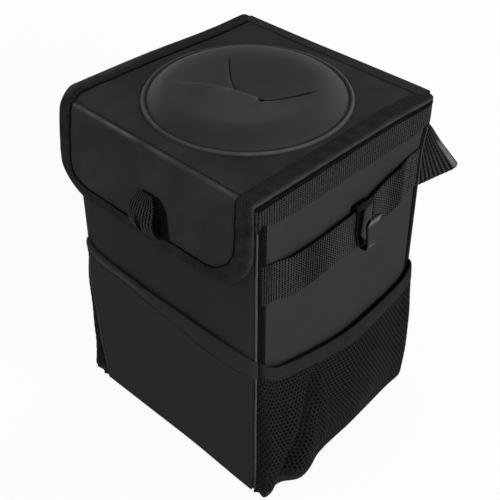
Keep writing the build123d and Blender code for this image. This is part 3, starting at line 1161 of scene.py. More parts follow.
        # The seam tape is near-black, partly its own colour and partly painted shade in the gap beside the
        # piping.
        tape = loft(f"{place}_seam_tape", sections)
        self.shop.fit(tape, Surface.SEAM_TAPE, "bin", "binding_tape", (f"{place}_corner_tape",))
        # The piping's lighter grey is a painted highlight.
        self.shop.fit(loft(f"{place}_piping", beads), Surface.PIPING, "bin", "binding_tape")
        seam = spot(90, self.side_leg - radius - self.seam_inset, self.corner_tape)
        self.shop.sew("bin", [seam + up(z) for z in levels if z > 3])


@dataclass
class FrontPocket(Assembly):
    """The flat cloth pocket on the lower front, with its bound and creased top edge."""

    shell: BoxShell
    cloth: float = 0.7
    gap: float = 0.05
    bow: float = 1.8
    ripple: float = 0.35
    foot: float = 0.35
    tape: float = 0.6
    wrap_deg: float = 52.0
    crease: float = 0.5
    ridge: float = 0.7
    wear_and_highlight: float = 0.45
    seam_inset: float = 2.0
    top: Smooth = Smooth((-82, 136), (-70, 129), (-45, 127), (40, 125), (86, 124))
    leg: Smooth = Smooth((-82, 12), (-60, 10), (-38, 9), (0, 13), (36, 17), (65, 17.5), (86, 13))

    def face(self, x: float, z: float) -> float:
        """Y of the pocket's outer face.

        Args:
            x: Place across the front.
            z: Height.

        Returns:
            The Y there.
        """
        front = Vector((x, -self.frame.half_depth, 0))
        out = self.shell.swell(front, Vector((0, -1, 0)), z)
        share = within(z / self.top(x))
        out += self.bow * (1 - (x / self.frame.half_width) ** 2) * share**1.5
        out += self.ripple * share**3 * wobble(Vector((x, 0, z)), 26.0, 11.0)
        return -self.frame.half_depth - self.cloth - self.gap - out

    def build(self) -> None:
        """Makes the sheet and its binding."""
        low, high = BinFrame.corners("front_pocket")
        columns = steps(low.x, high.x, 60)
        rows = []
        for share in steps(0, 1, 44):
            levels = [self.foot + (self.top(x) - 0.6 - self.foot) * share for x in columns]
            rows.append([Vector((x, self.face(x, z), z)) for x, z in zip(columns, levels)])
        sheet = thicken(grid("front_pocket_sheet", rows), self.cloth)
        self.shop.fit(sheet, Surface.PANEL_CLOTH, "bin", "outer_cloth", ("front_pocket",))
        wide, tall = (high.x - low.x) * MM, (self.top(0) - low.z) * MM
        self.bind()
        for x in (low.x + self.seam_inset, high.x - self.seam_inset):
            self.shop.sew("bin", [Vector((x, self.face(x, z) - self.gap, z)) for z in steps(6, 108, 50)])

    def bind(self) -> None:
        """Tape folded over the top edge, which wraps the front right corner."""
        frame, radius = self.frame, self.shell.corner_radius
        straight = frame.half_width - radius
        run_end = straight + math.radians(self.wrap_deg) * radius
        sections = []
        for run in steps(-frame.half_width + 1.5, run_end, 170):
            at = partial(self.spot, run, max(0.0, run - straight) / radius)
            leg = self.leg(run)
            top = self.top(run) + 0.5 * wobble(Vector((run, 0, 0)), 9.0, 13.0)
            soft = self.crease * ease(-20, 30, run) * ease(run_end, run_end - 8, run)
            outer, inner = [], []
            for share in (1.0, 0.75, 0.5, 0.25, 0.08):
                z = top - leg * share
                crease = soft * wobble(Vector((run + 0.8 * z, 0, 1.4 * z)), 7.0, 15.0)
                crease += self.ridge * ease(-20, -60, run) * bell(share, 0.35, 0.2)
                outer.append(at(z, self.tape + 0.15 + crease))
                inner.append(at(z, self.gap))
            crown = [at(top + 0.4, self.tape * 0.4), at(top + 0.3, -0.8)]
            back = [at(top - leg * 0.3, -1.0), at(top - 0.6, -0.6)]
            sections.append(outer + crown + back + inner[::-1])
        # Painted highlight along the folded edge's ridge.
        band = rub(loft("front_pocket_bound_edge", sections), self.ridge_highlight)
        self.shop.fit(band, Surface.PANEL_CLOTH, "bin", "binding_tape", ("front_pocket_binding",))
        line = []
        for run in steps(-frame.half_width + 4, straight - 2, 150):
            z = self.top(run) - self.leg(run) + 1.4
            line.append(self.spot(run, 0, z, self.tape + 0.35))
        self.shop.sew("bin", line)

    def ridge_highlight(self, point: Vector) -> float:
        """Painted highlight: a pale line along the folded edge's ridge, on its left half."""
        line = self.top(point.x) - 0.4 * self.leg(point.x)
        return self.wear_and_highlight * bell(point.z, line, 1.3) * ease(0, -45, point.x)

    def spot(self, run: float, turn: float, z: float, lift: float) -> Vector:
        """Point on the pocket's edge, past the corner where it turns.

        Args:
            run: Distance along the front from its middle.
            turn: Angle turned round the front right corner, in radians.
            z: Height.
            lift: Distance out from the pocket's face.

        Returns:
            The point.
        """
        if turn == 0:
            return Vector((run, self.face(run, z) - lift, z))
        radius = self.shell.corner_radius
        straight, heart = self.frame.half_width - radius, self.frame.half_depth - radius
        reach = -self.face(straight, z) - heart + lift
        return Vector((straight + reach * math.sin(turn), -heart - reach * math.cos(turn), z))


@dataclass
class NetPocket(Assembly):
    """A slack net pocket on one side, held close to the wall by elastic at its sagging top edge."""

    side: Side
    pitch: float = 3.3
    hole_share: float = 0.52
    yarn: float = 0.9
    solid_share: float = 0.72
    gap: float = 0.9
    least_bulge: float = 0.6
    front_y: float = -77.3
    back_y: float = 77.3
    front_turn: float = 3.5
    back_turn: float = 4.5
    low_z: float = 1.8
    foot_height: float = 4.0
    hem_share: float = 0.1
    hem_tape: float = 0.7
    hem_tuck: float = 1.7
    elastic_leg: float = 10.0
    fold_depth: float = 11.5
    fold_front: float = 4.5
    fold_back: float = 8.0
    front_lean: float = 5.5
    belly: Bump = Bump(14, 36, 5.5)
    back_belly: Bump = Bump(72, 9, 2.8)
    front_crease: Bump = Bump(-25, 2.5, 1.6)
    top: Smooth = Smooth(
        (-78, 124), (-70, 115.5), (-62, 111), (-45, 106), (-17, 99.5), (6, 96.5), (32, 98.5), (58, 102.5),
        (68, 106), (78, 115),
    )
    low_bulge: Smooth = Smooth(
        (-79, 9.5), (-70, 10.5), (-62, 12), (-56, 15.5), (-49, 16.5), (-41, 15.5), (-28, 11.5), (-9, 10),
        (11, 9.2), (32, 7.4), (52, 6.4), (76, 5),
    )
    top_bulge: Smooth = Smooth((-78, 2), (-60, 3.6), (0, 4.2), (58, 4), (77, 3))
    fold_line: Smooth = Smooth((4, -65), (36, -54), (55, -45), (72, -36), (92, -28))
    corner_radius: float = 5.0
    edge_strip: float = 8.0

    def level(self, y: float, share: float) -> float:
        """Height of the net at a place along the side and a share of its height."""
        return self.low_z + (self.top(y) - self.low_z) * share

    def stand_off(self, y: float, share: float) -> float:
        """How far the net stands off the wall.

        Args:
            y: Place along the side.
            share: Height from 0 at the hem to 1 at the top edge.

        Returns:
            The distance in millimetres.
        """
        z = self.level(y, share)
        low, high = self.low_bulge(y), self.top_bulge(y)
        body = low + (high - low) * ease(0.25, 1, share)
        body += (self.belly(y) + self.back_belly(y)) * math.sin(math.pi * share)
        pinch = ease(94, 60, z) * (0.3 + 0.7 * ease(3, 16, z))
        fold = self.fold_line(z)
        body -= self.fold_depth * bell(y, fold, self.fold_front if y < fold else self.fold_back) * pinch
        body += self.front_crease(y) * ease(0.0, 0.3, share) * ease(1.0, 0.8, share)
        body += 0.5 * wobble(Vector((0, y, z)), 22.0, 17.0) * ease(1.0, 0.85, share)
        foot = 1 - (1 - min(1.0, share * self.top(y) / self.foot_height)) ** 2
        rounded = self.slack(y)
        past = max(0.0, abs(y) - self.frame.half_depth + self.corner_radius)
        corner = self.corner_radius - math.sqrt(max(0.0, self.corner_radius**2 - past**2))
        return self.gap + max(self.least_bulge, body) * math.sqrt(foot) * rounded - corner * (1 - rounded)

    def slack(self, y: float) -> float:
        """How free the net is of its sewn ends, from 0 to 1."""
        ends = within(min((y - self.front_y) / self.front_turn, (self.back_y - y) / self.back_turn))
        return math.sqrt(1 - (1 - ends) ** 2)

    def spot(self, y: float, share: float, lift: float = 0.0) -> Vector:
        """Point on the net, its front sagging forward at the foot.

        Args:
            y: Place along the side.
            share: Height from 0 at the hem to 1 at the top edge.
            lift: Distance off the net.

        Returns:
            The point.
        """
        out = self.frame.half_width + self.stand_off(y, share) + lift
        lean = self.front_lean * ease(-60, -75, y) * ease(0.28, 0.02, share) * self.slack(y)
        return Vector((self.side.value * out, y - lean, self.level(y, share)))

    def line(self, share: float) -> Row:
        """A close line of points along the net at one height."""
        samples = [0.5 - 0.5 * math.cos(math.pi * t) for t in steps(0, 1, 240)]
        return [self.spot(self.front_y + (self.back_y - self.front_y) * t, share) for t in samples]

    def build(self, knit: GeometryNodeTree) -> None:
        """Makes the net, its hem and its elastic.

        Args:
            knit: Geometry nodes that knit a net over a sheet.
        """
        name = self.side.name.lower()
        material = self.shop.materials[Surface.NET]
        values = {"Hole share": self.hole_share, "Yarn": self.yarn * MM, "Material": material}
        net = run_tree(self.net_sheet(f"{name}_net"), knit, values)
        self.shop.fit(net, Surface.NET, "bin", "net", (f"{name}_mesh_pocket",))
        wide, tall = lengths(self.line(0.5))[-1] * MM, (self.top(0) + 8) * MM
        elastic = self.elastic_edge(name)
        self.shop.fit(elastic, Surface.ELASTIC, "bin", "binding_tape", (f"{name}_pocket_elastic",))
        rows = [evenly(self.line(share), steps(0, 1, 110)) for share in steps(0, self.hem_share, 7)]
        rows.insert(0, [point - Vector((self.side.value * self.hem_tuck, 0, 0)) for point in rows[0]])
        hem = self.backing(f"{name}_net_hem", rows)
        ends = steps(self.front_y, self.front_y + self.edge_strip, 9)
        rows = [[self.spot(y, share, -self.yarn) for y in ends] for share in steps(0.02, 0.96, 60)]
        strip = self.backing(f"{name}_net_edge", rows)

    def backing(self, name: str, rows: list[Row]) -> Object:
        """A thin tape through rows from front to back, facing out on either side.

        Args:
            name: Name of the piece.
            rows: The rows, from the lowest up.

        Returns:
            The tape, on the bin.
        """
        facing = rows if self.side is Side.RIGHT else mirrored(rows)
        tape = thicken(grid(name, facing), self.hem_tape, 0.0)
        self.shop.fit(tape, Surface.TAPE, "bin", "net")
        return tape

    def net_sheet(self, name: str) -> Object:
        """Staggered triangles over the pocket, each point the middle of one hole.

        Args:
            name: Name of the piece.

        Returns:
            The sheet that the nodes knit over.
        """
        columns = round(lengths(self.line(0.5))[-1] / self.pitch)
        row_count = round(self.top(0) / (self.pitch * math.sqrt(3) / 2))
        rows = []
        for i, share in enumerate(steps(self.hem_share * 0.6, 0.975, row_count)):
            shift = 0.5 / columns if i % 2 else 0.0
            places = [0.0] + [(k + 0.5) / columns + shift for k in range(columns - 1)] + [1.0]
            rows.append(evenly(self.line(share), places))
        count = len(rows[0])
        faces = []
        for i in range(row_count - 1):
            for j in range(count - 1):
                a, b = i * count + j, (i + 1) * count + j
                pair = [(a, a + 1, b + 1), (a, b + 1, b)] if i % 2 else [(a, a + 1, b), (a + 1, b + 1, b)]
                faces += pair if self.side is Side.RIGHT else [tri[::-1] for tri in pair]
        points = [point for row in rows for point in row]
        return mesh_piece(name, points, faces, [((0, 0),) * 3] * len(faces))

    def elastic_edge(self, name: str) -> Object:
        """Elastic folded over the top edge, a little uneven where it draws the net in.

        Args:
            name: Name of the side.

        Returns:
            The closed band.
        """
        sections = []
        out = Vector((self.side.value, 0, 0))
        for y in steps(self.front_y, self.back_y, 220):
            ruck = wobble(Vector((0, y, 0)), 3.0, 19.0)
            top = self.top(y) + 0.2 * ruck
            leg = self.elastic_leg + 0.5 * wobble(Vector((0, y, 0)), 8.0, 21.0)
            outer, inner = [], []
            for drop in (leg, 0.7 * leg, 0.4 * leg, 1.5):
                share = (top - drop - self.low_z) / (self.top(y) - self.low_z)
                wave = 0.16 * ruck * math.sin(math.pi * drop / leg * 0.9)
                heart = self.spot(y, share)
                outer.append(heart + out * (1.2 + wave))
                inner.append(heart - out * 0.7)
            crown = self.spot(y, 1.0)
            crown.z = top + 0.7
            sections.append(outer + [crown + out * 0.6, crown - out * 0.3] + inner[::-1])
        return loft(f"{name}_elastic", sections)


def run_tree(piece: Object, tree: GeometryNodeTree, values: dict) -> Object:
    """Runs geometry nodes on a piece and keeps what they make.

    Args:
        piece: The object.
        tree: The geometry tree.
        values: Values of the tree's inputs, by name.

    Returns:
        The same object, as plain mesh.
    """
    modifier = piece.modifiers.new(tree.name, "NODES")
    modifier.node_group = tree
    for item in tree.interface.items_tree:
        if item.in_out == "INPUT" and item.name in values:
            modifier[item.identifier] = values[item.name]
    return freeze(piece)


def new_tree(name: str, inputs: dict[str, str]) -> tuple[GeometryNodeTree, Node]:
    """Starts a geometry tree with its named inputs, the material of its mesh among them.

    Args:
        name: Name of the tree.
        inputs: Socket type of each other input, by name.

    Returns:
        The tree and its input node.
    """
    tree = bpy.data.node_groups.new(name, "GeometryNodeTree")
    sockets = {"Geometry": "NodeSocketGeometry"} | inputs | {"Material": "NodeSocketMaterial"}
    for label, kind in sockets.items():
        tree.interface.new_socket(name=label, in_out="INPUT", socket_type=kind)
    tree.interface.new_socket(name="Geometry", in_out="OUTPUT", socket_type="NodeSocketGeometry")
    return tree, add_node(tree, "NodeGroupInput")


def end_tree(tree: GeometryNodeTree, shape: Node, source: Node) -> None:
    """Ends a geometry tree in plain mesh with its material.

    Args:
        tree: The geometry tree.
        shape: The node that makes the shape.
        source: The tree's input node.
    """
    real = add_node(tree, "GeometryNodeRealizeInstances", {"Geometry": shape})
    dress = {"Geometry": real, "Material": source.outputs["Material"]}
    add_node(tree, "NodeGroupOutput", {"Geometry": add_node(tree, "GeometryNodeSetMaterial", dress)})


def knit_tree() -> GeometryNodeTree:
    """Knits a net: a six-sided mesh over a sheet, opened inside each cell and given its yarn's thickness.

    Returns:
        The geometry tree.
    """
    tree, source = new_tree("knit_net", {"Hole share": "NodeSocketFloat", "Yarn": "NodeSocketFloat"})
    add = partial(add_node, tree)
    cells = add("GeometryNodeDualMesh", {"Mesh": source.outputs["Geometry"], "Keep Boundaries": True})
    flat = {"Mesh": cells, "Offset Scale": 0.0, "Individual": True}
    inset = add("GeometryNodeExtrudeMesh", flat, mode="FACES")
    top = inset.outputs["Top"]
    shrunk = {"Geometry": inset, "Selection": top, "Scale": source.outputs["Hole share"]}
    holes = add("GeometryNodeScaleElements", shrunk, domain="FACE")
    inside = {"Geometry": holes, "Selection": top}
    opened = add("GeometryNodeDeleteGeometry", inside, domain="FACE", mode="ALL")
    joined = add("GeometryNodeMergeByDistance", {"Geometry": opened, "Distance": 0.02 * MM})
    yarn = {"Mesh": joined, "Offset Scale": source.outputs["Yarn"], "Individual": False}
    raised = add("GeometryNodeExtrudeMesh", yarn, mode="FACES")
    back = add("GeometryNodeFlipFaces", {"Mesh": joined})
    both = add("GeometryNodeJoinGeometry", {"Geometry": raised})
    tree.links.new(back.outputs["Mesh"], both.inputs["Geometry"])
    closed = add("GeometryNodeMergeByDistance", {"Geometry": both, "Distance": 0.01 * MM})
    end_tree(tree, closed, source)
    return tree


def stitch_tree() -> GeometryNodeTree:
    """Sews along lines: a small bead of thread at each pitch, turned along the line.

    Returns:
        The geometry tree.
    """
    sizes = dict.fromkeys(("Pitch", "Thread", "Length"), "NodeSocketFloat")
    tree, source = new_tree("stitch_lines", sizes)
    add = partial(add_node, tree)
    pitch, thread, length = (source.outputs[label] for label in sizes)
    curve = add("GeometryNodeMeshToCurve", {"Mesh": source.outputs["Geometry"]})
    spaced = add("GeometryNodeResampleCurve", {"Curve": curve, "Length": pitch}, mode="LENGTH")
    bead = add("GeometryNodeMeshUVSphere", {"Segments": 6, "Rings": 4, "Radius": 1.0})
    size = add("ShaderNodeCombineXYZ", {"X": thread, "Y": thread, "Z": length})
    stitch = add("GeometryNodeTransform", {"Geometry": bead, "Scale": size})
    ahead = add("GeometryNodeInputTangent")
    turn = add("FunctionNodeAlignRotationToVector", {"Vector": ahead}, axis="Z")
    row = add("GeometryNodeInstanceOnPoints", {"Points": spaced, "Instance": stitch, "Rotation": turn})
    end_tree(tree, row, source)
    return tree


@dataclass
class Stitching:
    """Every line of stitches, one mesh for each body."""

    shop: Workshop
    pitch: float = 3.4
    thread: float = 0.3
    length: float = 1.25

    def build(self) -> None:
        """Sews the lines that the pieces have noted."""
        tree = stitch_tree()
        sizes = {"Pitch": self.pitch * MM, "Thread": self.thread * MM, "Length": self.length * MM}
        values = sizes | {"Material": self.shop.materials[Surface.THREAD]}
        for body, lines in self.shop.seams.items():
            mesh = bpy.data.meshes.new(f"{body}_stitches")
            points: Row = []
            edges = []
            for line in lines:
                start = len(points)
                points += [point * MM for point in line]
                edges += [(start + k, start + k + 1) for k in range(len(line) - 1)]
            mesh.from_pydata(points, edges, [])
            sewn = run_tree(link(f"{body}_stitches", mesh), tree, values)
            self.shop.fit(sewn, Surface.THREAD, body, "binding_tape")


@dataclass
class SideWebbing(Assembly):
    """Ribbed webbing sewn across one side, and the moulded hook that hangs on it."""

    side: Side
    width: float = 30.0
    thick: float = 1.6
    gap: float = 0.3
    stand_off: float = 3.0
    rib: float = 2.2
    rib_height: float = 0.2
    seam_inset: float = 2.0
    start_y: float = -76.5
    end_y: float = 71.0
    middle: Smooth = Smooth(
        (-77, 185), (-60, 181.5), (-35, 180.2), (-5, 181.5), (12, 183.5), (32, 190), (50, 193.5), (71, 196.8),
    )
    hook_wall: float = 2.0
    hook_middle_y: float = 11.0
    hook_wide: float = 14.0
    hook_foot: float = 8.0
    hook_gap: float = 0.5
    hook_edge: float = 0.5
    hook_crown: float = 0.35
    back_leg: float = 22.0
    shoulder_drop: float = 22.0
    prong_rise: float = 17.0
    prong_tip: float = 12.0
    tip_rise: float = 6.0
    tip_reach: float = 2.0

    def build(self) -> None:
        """Makes the strap and the hook."""
        name = self.side.name.lower()
        strap = loft(f"{name}_webbing", self.strap_sections())
        self.shop.fit(strap, Surface.WEBBING, "bin", "webbing", (f"{name}_side_strap",))
        hook = loft(f"{name}_hook", self.hook_sections())
        self.shop.fit(hook, Surface.PLASTIC, f"{name}_hook", "moulded_plastic", (f"{name}_bag_hook",))
        reach = self.width / 2 - self.seam_inset
        for y in (self.start_y + 2, self.start_y + 8, self.end_y - 8, self.end_y - 2):
            out = self.frame.half_width + self.lift(y) + self.thick + 0.1
            seam = Vector((self.side.value * out, y, self.middle(y)))
            self.shop.sew("bin", [seam + up(z) for z in steps(-reach, reach, 14)])

    def lift(self, y: float) -> float:
        """How far the back of the strap stands off the wall."""
        free = ease(self.start_y + 10, self.start_y + 26, y) * ease(self.end_y - 9, self.end_y - 24, y)
        return self.gap + self.stand_off * free

    def strap_sections(self) -> list[Row]:
        """Loops round the strap, rib by rib.

        Returns:
            The sections from front to back.
        """
        count = round((self.end_y - self.start_y) / self.rib * 5)
        half = self.width / 2
        sections = []
        for y in steps(self.start_y, self.end_y, count):
            rib = self.rib_height * math.sin(2 * math.pi * y / self.rib)
            inner = self.frame.half_width + self.lift(y)
            z = self.middle(y) + 0.3 * wobble(Vector((0, y, 0)), 20.0, 23.0)
            outer = inner + self.thick + rib
            loop = [(inner, -half + 0.4), (inner + 0.5, -half), (outer - 0.5, -half)]
            loop += [(outer, dz) for dz in steps(-half + 0.5, half - 0.5, 8)]
            loop += [(outer - 0.5, half), (inner + 0.5, half), (inner, half - 0.4)]
            sections.append([Vector((self.side.value * x, y, z + dz)) for x, dz in loop])
        return sections

    def hook_line(self) -> Row:
        """Middle line of the hook in X and Z: behind the strap, over it, down, and up the prong.

        Returns:
            The points from end to end.
        """
        low, high = BinFrame.corners("right_bag_hook")
        wall = self.hook_wall / 2
        back = low.x + wall
        front = self.frame.half_width + self.stand_off + self.thick + self.hook_gap + wall
        tip = high.x - wall
        prong = tip - self.tip_reach
        bowl = (prong - front) / 2
        bottom = low.z + wall + bowl
        hood = (front - back) / 2
        top = high.z - wall - hood
        prong_top = bottom + self.prong_rise
        line = [(back, z) for z in steps(top - self.back_leg, top, 8)]
        for angle in steps(math.pi, 0, 11)[1:]:
            line.append((back + hood + hood * math.cos(angle), top + hood * math.sin(angle)))
        line += [(front, z) for z in steps(top, bottom, 12)[1:]]
        for angle in steps(math.pi, 2 * math.pi, 13)[1:]:
            line.append((front + bowl + bowl * math.cos(angle), bottom + bowl * math.sin(angle)))
        line += [(prong, z) for z in steps(bottom, prong_top, 9)[1:]]
        line += [(prong + (tip - prong) * t, prong_top + self.tip_rise * t) for t in steps(0, 1, 5)[1:]]
        return [Vector((x, 0, z)) for x, z in line]

    def hook_sections(self) -> list[Row]:
        """Rounded flat sections along the hook, narrower round its bowl.

        Returns:
            The sections from end to end.
        """
        line = self.hook_line()
        shoulder = BinFrame.corners("right_bag_hook")[1].z - self.shoulder_drop
        run = lengths(line)
        sections = []
        for k, heart in enumerate(line):
            ahead = (line[min(k + 1, len(line) - 1)] - line[max(k - 1, 0)]).normalized()
            out = Vector((ahead.z, 0, -ahead.x))
            end = min(run[k], run[-1] - run[k])
            share = run[k] / run[-1]
            widest, grown = self.hook_wide, ease(shoulder - 11, shoulder + 3, heart.z)
            if share > 0.7:
                widest, grown = self.prong_tip, ease(0.7, 1.0, share)
            half = (self.hook_foot + (widest - self.hook_foot) * grown) / 2
            half -= 0.8 * (1 - ease(0, 1.5, end))
            wall = self.hook_wall / 2 * (0.6 + 0.4 * ease(0, 1.2, end))
            flat, side, crown = half - self.hook_edge, 0.3 * wall, wall + self.hook_crown * wall
            loop = [(-half, side), (-flat, wall), (0, crown), (flat, wall), (half, side)]
            loop += [(half, -side), (flat, -wall), (0, -wall), (-flat, -wall), (-half, -side)]
            section = []
            for across, lift in loop:
                spot = heart - out * lift
                section.append(Vector((self.side.value * spot.x, self.hook_middle_y + across, spot.z)))
            sections.append(section)
        return sections


@dataclass
class HangingStrap(Assembly):
    """Webbing loop behind the bin: sewn ends, cone-shaped turns and a back run with a slider."""

    width: float = 45.0
    thick: float = 1.6
    rib: float = 2.2
    rib_height: float = 0.2
    drop: float = 26.0
    sewn: float = 20.0
    seam_inset: float = 3.0
    sink: float = 4.5
    edge_margin: float = 11.5
    high_radius: float = 5.0
    low_radius: float = 20.5
    high_fold: tuple[float, float] = (10.0, 1.0)
    low_fold: tuple[float, float] = (22.5, 10.5)
    fold_soft: float = 0.09
    highlight_line: Bump = Bump(1.2, 0.5, 1.0)
    highlight_part: tuple[float, float] = (0.38, 0.97)
    slider_bevel: float = 0.5

    def build(self) -> None:
        """Makes the strap and the slider."""
        high, low, _ = max(self.stations(), key=lambda entry: entry[1].x)
        # Painted highlight down each fold of the strap.
        crest = [high.lerp(low, share) for share in steps(*self.highlight_part, 26)]
        strap = rub(loft("hanging_webbing", self.sections()), partial(self.fold_highlight, crest))
        self.shop.fit(strap, Surface.WEBBING, "bin", "webbing", ("hanging_strap",))
        slider = bevelled_copy("strap_slider", "slider_moulding", self.slider_bevel)
        self.shop.fit(slider, Surface.PLASTIC, "slider", "moulded_plastic", ("strap_slider",))
        turn_x = self.frame.half_width - self.edge_margin
        y = self.frame.half_depth + self.thick + 0.15
        top = self.frame.wall_top - self.drop - self.sink
        low_z, high_z = top - self.width + self.seam_inset, top - self.seam_inset
        for side in (-1, 1):
            near, far = side * (turn_x - self.sewn + 2), side * (turn_x - self.seam_inset)
            box = [(near, low_z), (far, low_z), (far, high_z), (near, high_z), (near, low_z), (far, high_z)]
            self.shop.sew("bin", [Vector((x, y, z)) for x, z in box])

    def fold_highlight(self, crest: Row, point: Vector) -> float:
        """Painted highlight: a pale line down the lower part of each fold, where its edge catches the light.

        Args:
            crest: The highlighted part of the right fold, as a line of points.
            point: A point on the strap.

        Returns:
            How strong the painted highlight is, from 0 to 1.
        """
        on_right = Vector((abs(point.x), point.y, point.z))
        near = min((on_right - place).length for place in crest)
        return self.highlight_line(near) * (0.7 + 0.5 * wobble(point, 5.0, 61.0))

    def stations(self) -> list[tuple[Vector, Vector, Vector]]:
        """Upper edge, lower edge and outward direction of the strap along its loop.

        Returns:
            The stations from the right sewn end round to the left one.
        """
        frame = self.frame
        spread = math.asin((self.low_radius - self.high_radius) / self.width)
        away = Vector((0, math.cos(spread), math.sin(spread)))
        upwards = Vector((0, -math.sin(spread), math.cos(spread)))
        turn_x = frame.half_width - self.edge_margin
        sewn_edge = Vector((turn_x, frame.half_depth + self.thick / 2, frame.wall_top - self.drop))
        centre = sewn_edge + away * self.high_radius
        foot = centre - upwards * (self.width * math.cos(spread))
        rims = ((centre, self.high_radius, self.high_fold), (foot, self.low_radius, self.low_fold))
        step = self.rib / 5

        def station(share: float, shift: float) -> tuple[Vector, Vector, Vector]:
            """Edges and outward direction at one place.

            Args:
                share: From 0 at the wall to 1 at the back run.
                shift: Distance along X from the fold.

            Returns:
                The upper edge, the lower edge and the direction.
            """
            edges = []
            for heart, radius, peak in rims:
                spread_x, back = self.folded(share, radius, peak)
                sink = self.sink * ease(0.5, 0.0, share)
                edges.append(heart + Vector((spread_x + shift, 0, -sink)) + away * back)
            before, after = (self.folded(share + nudge, 1.0, (1.0, 0.3)) for nudge in (-0.02, 0.02))
            out = Vector((after[1] - before[1], 0, 0)) - away * (after[0] - before[0])
            return edges[0], edges[1], out.normalized()

        right = [station(0, shift) for shift in steps(-self.sewn, 0, round(self.sewn / step))]
        turn = math.pi * (self.high_radius + self.low_radius) / 2
        right += [station(share, 0) for share in steps(0, 1, round(turn / step))[1:]]
        right += [station(1, shift) for shift in steps(0, -turn_x, round(turn_x / step))[1:]]
        flip = Vector((-1, 1, 1))
        left = [tuple(v * flip for v in entry) for entry in reversed(right[:-1])]
        return right + left

    def folded(self, share: float, radius: float, peak: tuple[float, float]) -> tuple[float, float]:
        """Place on one edge of the fold: out to a soft peak and back behind.

        Args:
            share: From 0 at the wall to 1 at the back run.
            radius: Half the gap between the wall and the back run.
            peak: How far out along X and back the fold reaches.

        Returns:
            The distance out along X and the distance back from the middle of the gap.
        """
        soft = self.fold_soft
        places = []
        for near in steps(share - soft, share + soft, 7):
            if near < 0.5:
                part = near / 0.5
                places.append((peak[0] * part, -radius + (peak[1] + radius) * part))
            else:
                part = (near - 0.5) / 0.5
                places.append((peak[0] * (1 - part), peak[1] + (radius - peak[1]) * part))
        blend = ease(0.0, soft, share) * ease(1.0, 1.0 - soft, share)
        across, back = (sum(values) / len(values) for values in zip(*places))
        plain = -radius if share < 0.5 else radius
        return across * blend, plain + (back - plain) * blend

    def sections(self) -> list[Row]:
        """Loops round the strap, rib by rib.

        Returns:
            The sections from end to end.
        """
        stations = self.stations()
        middle = lengths([(high + low) / 2 for high, low, _ in stations])
        half = self.thick / 2
        loops = []
        for run, (high, low, out) in zip(middle, stations):
            rib = self.rib_height * math.sin(2 * math.pi * run / self.rib)
            face = [high.lerp(low, t) + out * (half + rib) for t in steps(0.015, 0.985, 9)]
            back = [high.lerp(low, t) - out * half for t in steps(0.985, 0.015, 5)]
            loops.append([high] + face + [low] + back)
        return loops


def bevelled_copy(node: str, name: str, width: float) -> Object:
    """A copy of a rigid CAD node with softened edges.

    Args:
        node: Name of the CAD node.
        name: Name of the new piece.
        width: Width of the bevel in millimetres.

    Returns:
        The new object.
    """

    def simplify(work: BMesh) -> None:
        """Merges the points that meet and the faces that lie flat together."""
        weld(work)
        bmesh.ops.dissolve_limit(work, angle_limit=math.radians(1), verts=work.verts, edges=work.edges)

    piece = rework(link(name, bpy.data.objects[node].data.copy()), simplify)
    bevel = piece.modifiers.new("soft_edges", "BEVEL")
    bevel.width = width * MM
    bevel.segments = 2
    bevel.limit_method = "ANGLE"
    bevel.angle_limit = math.radians(50)
    return freeze(piece)


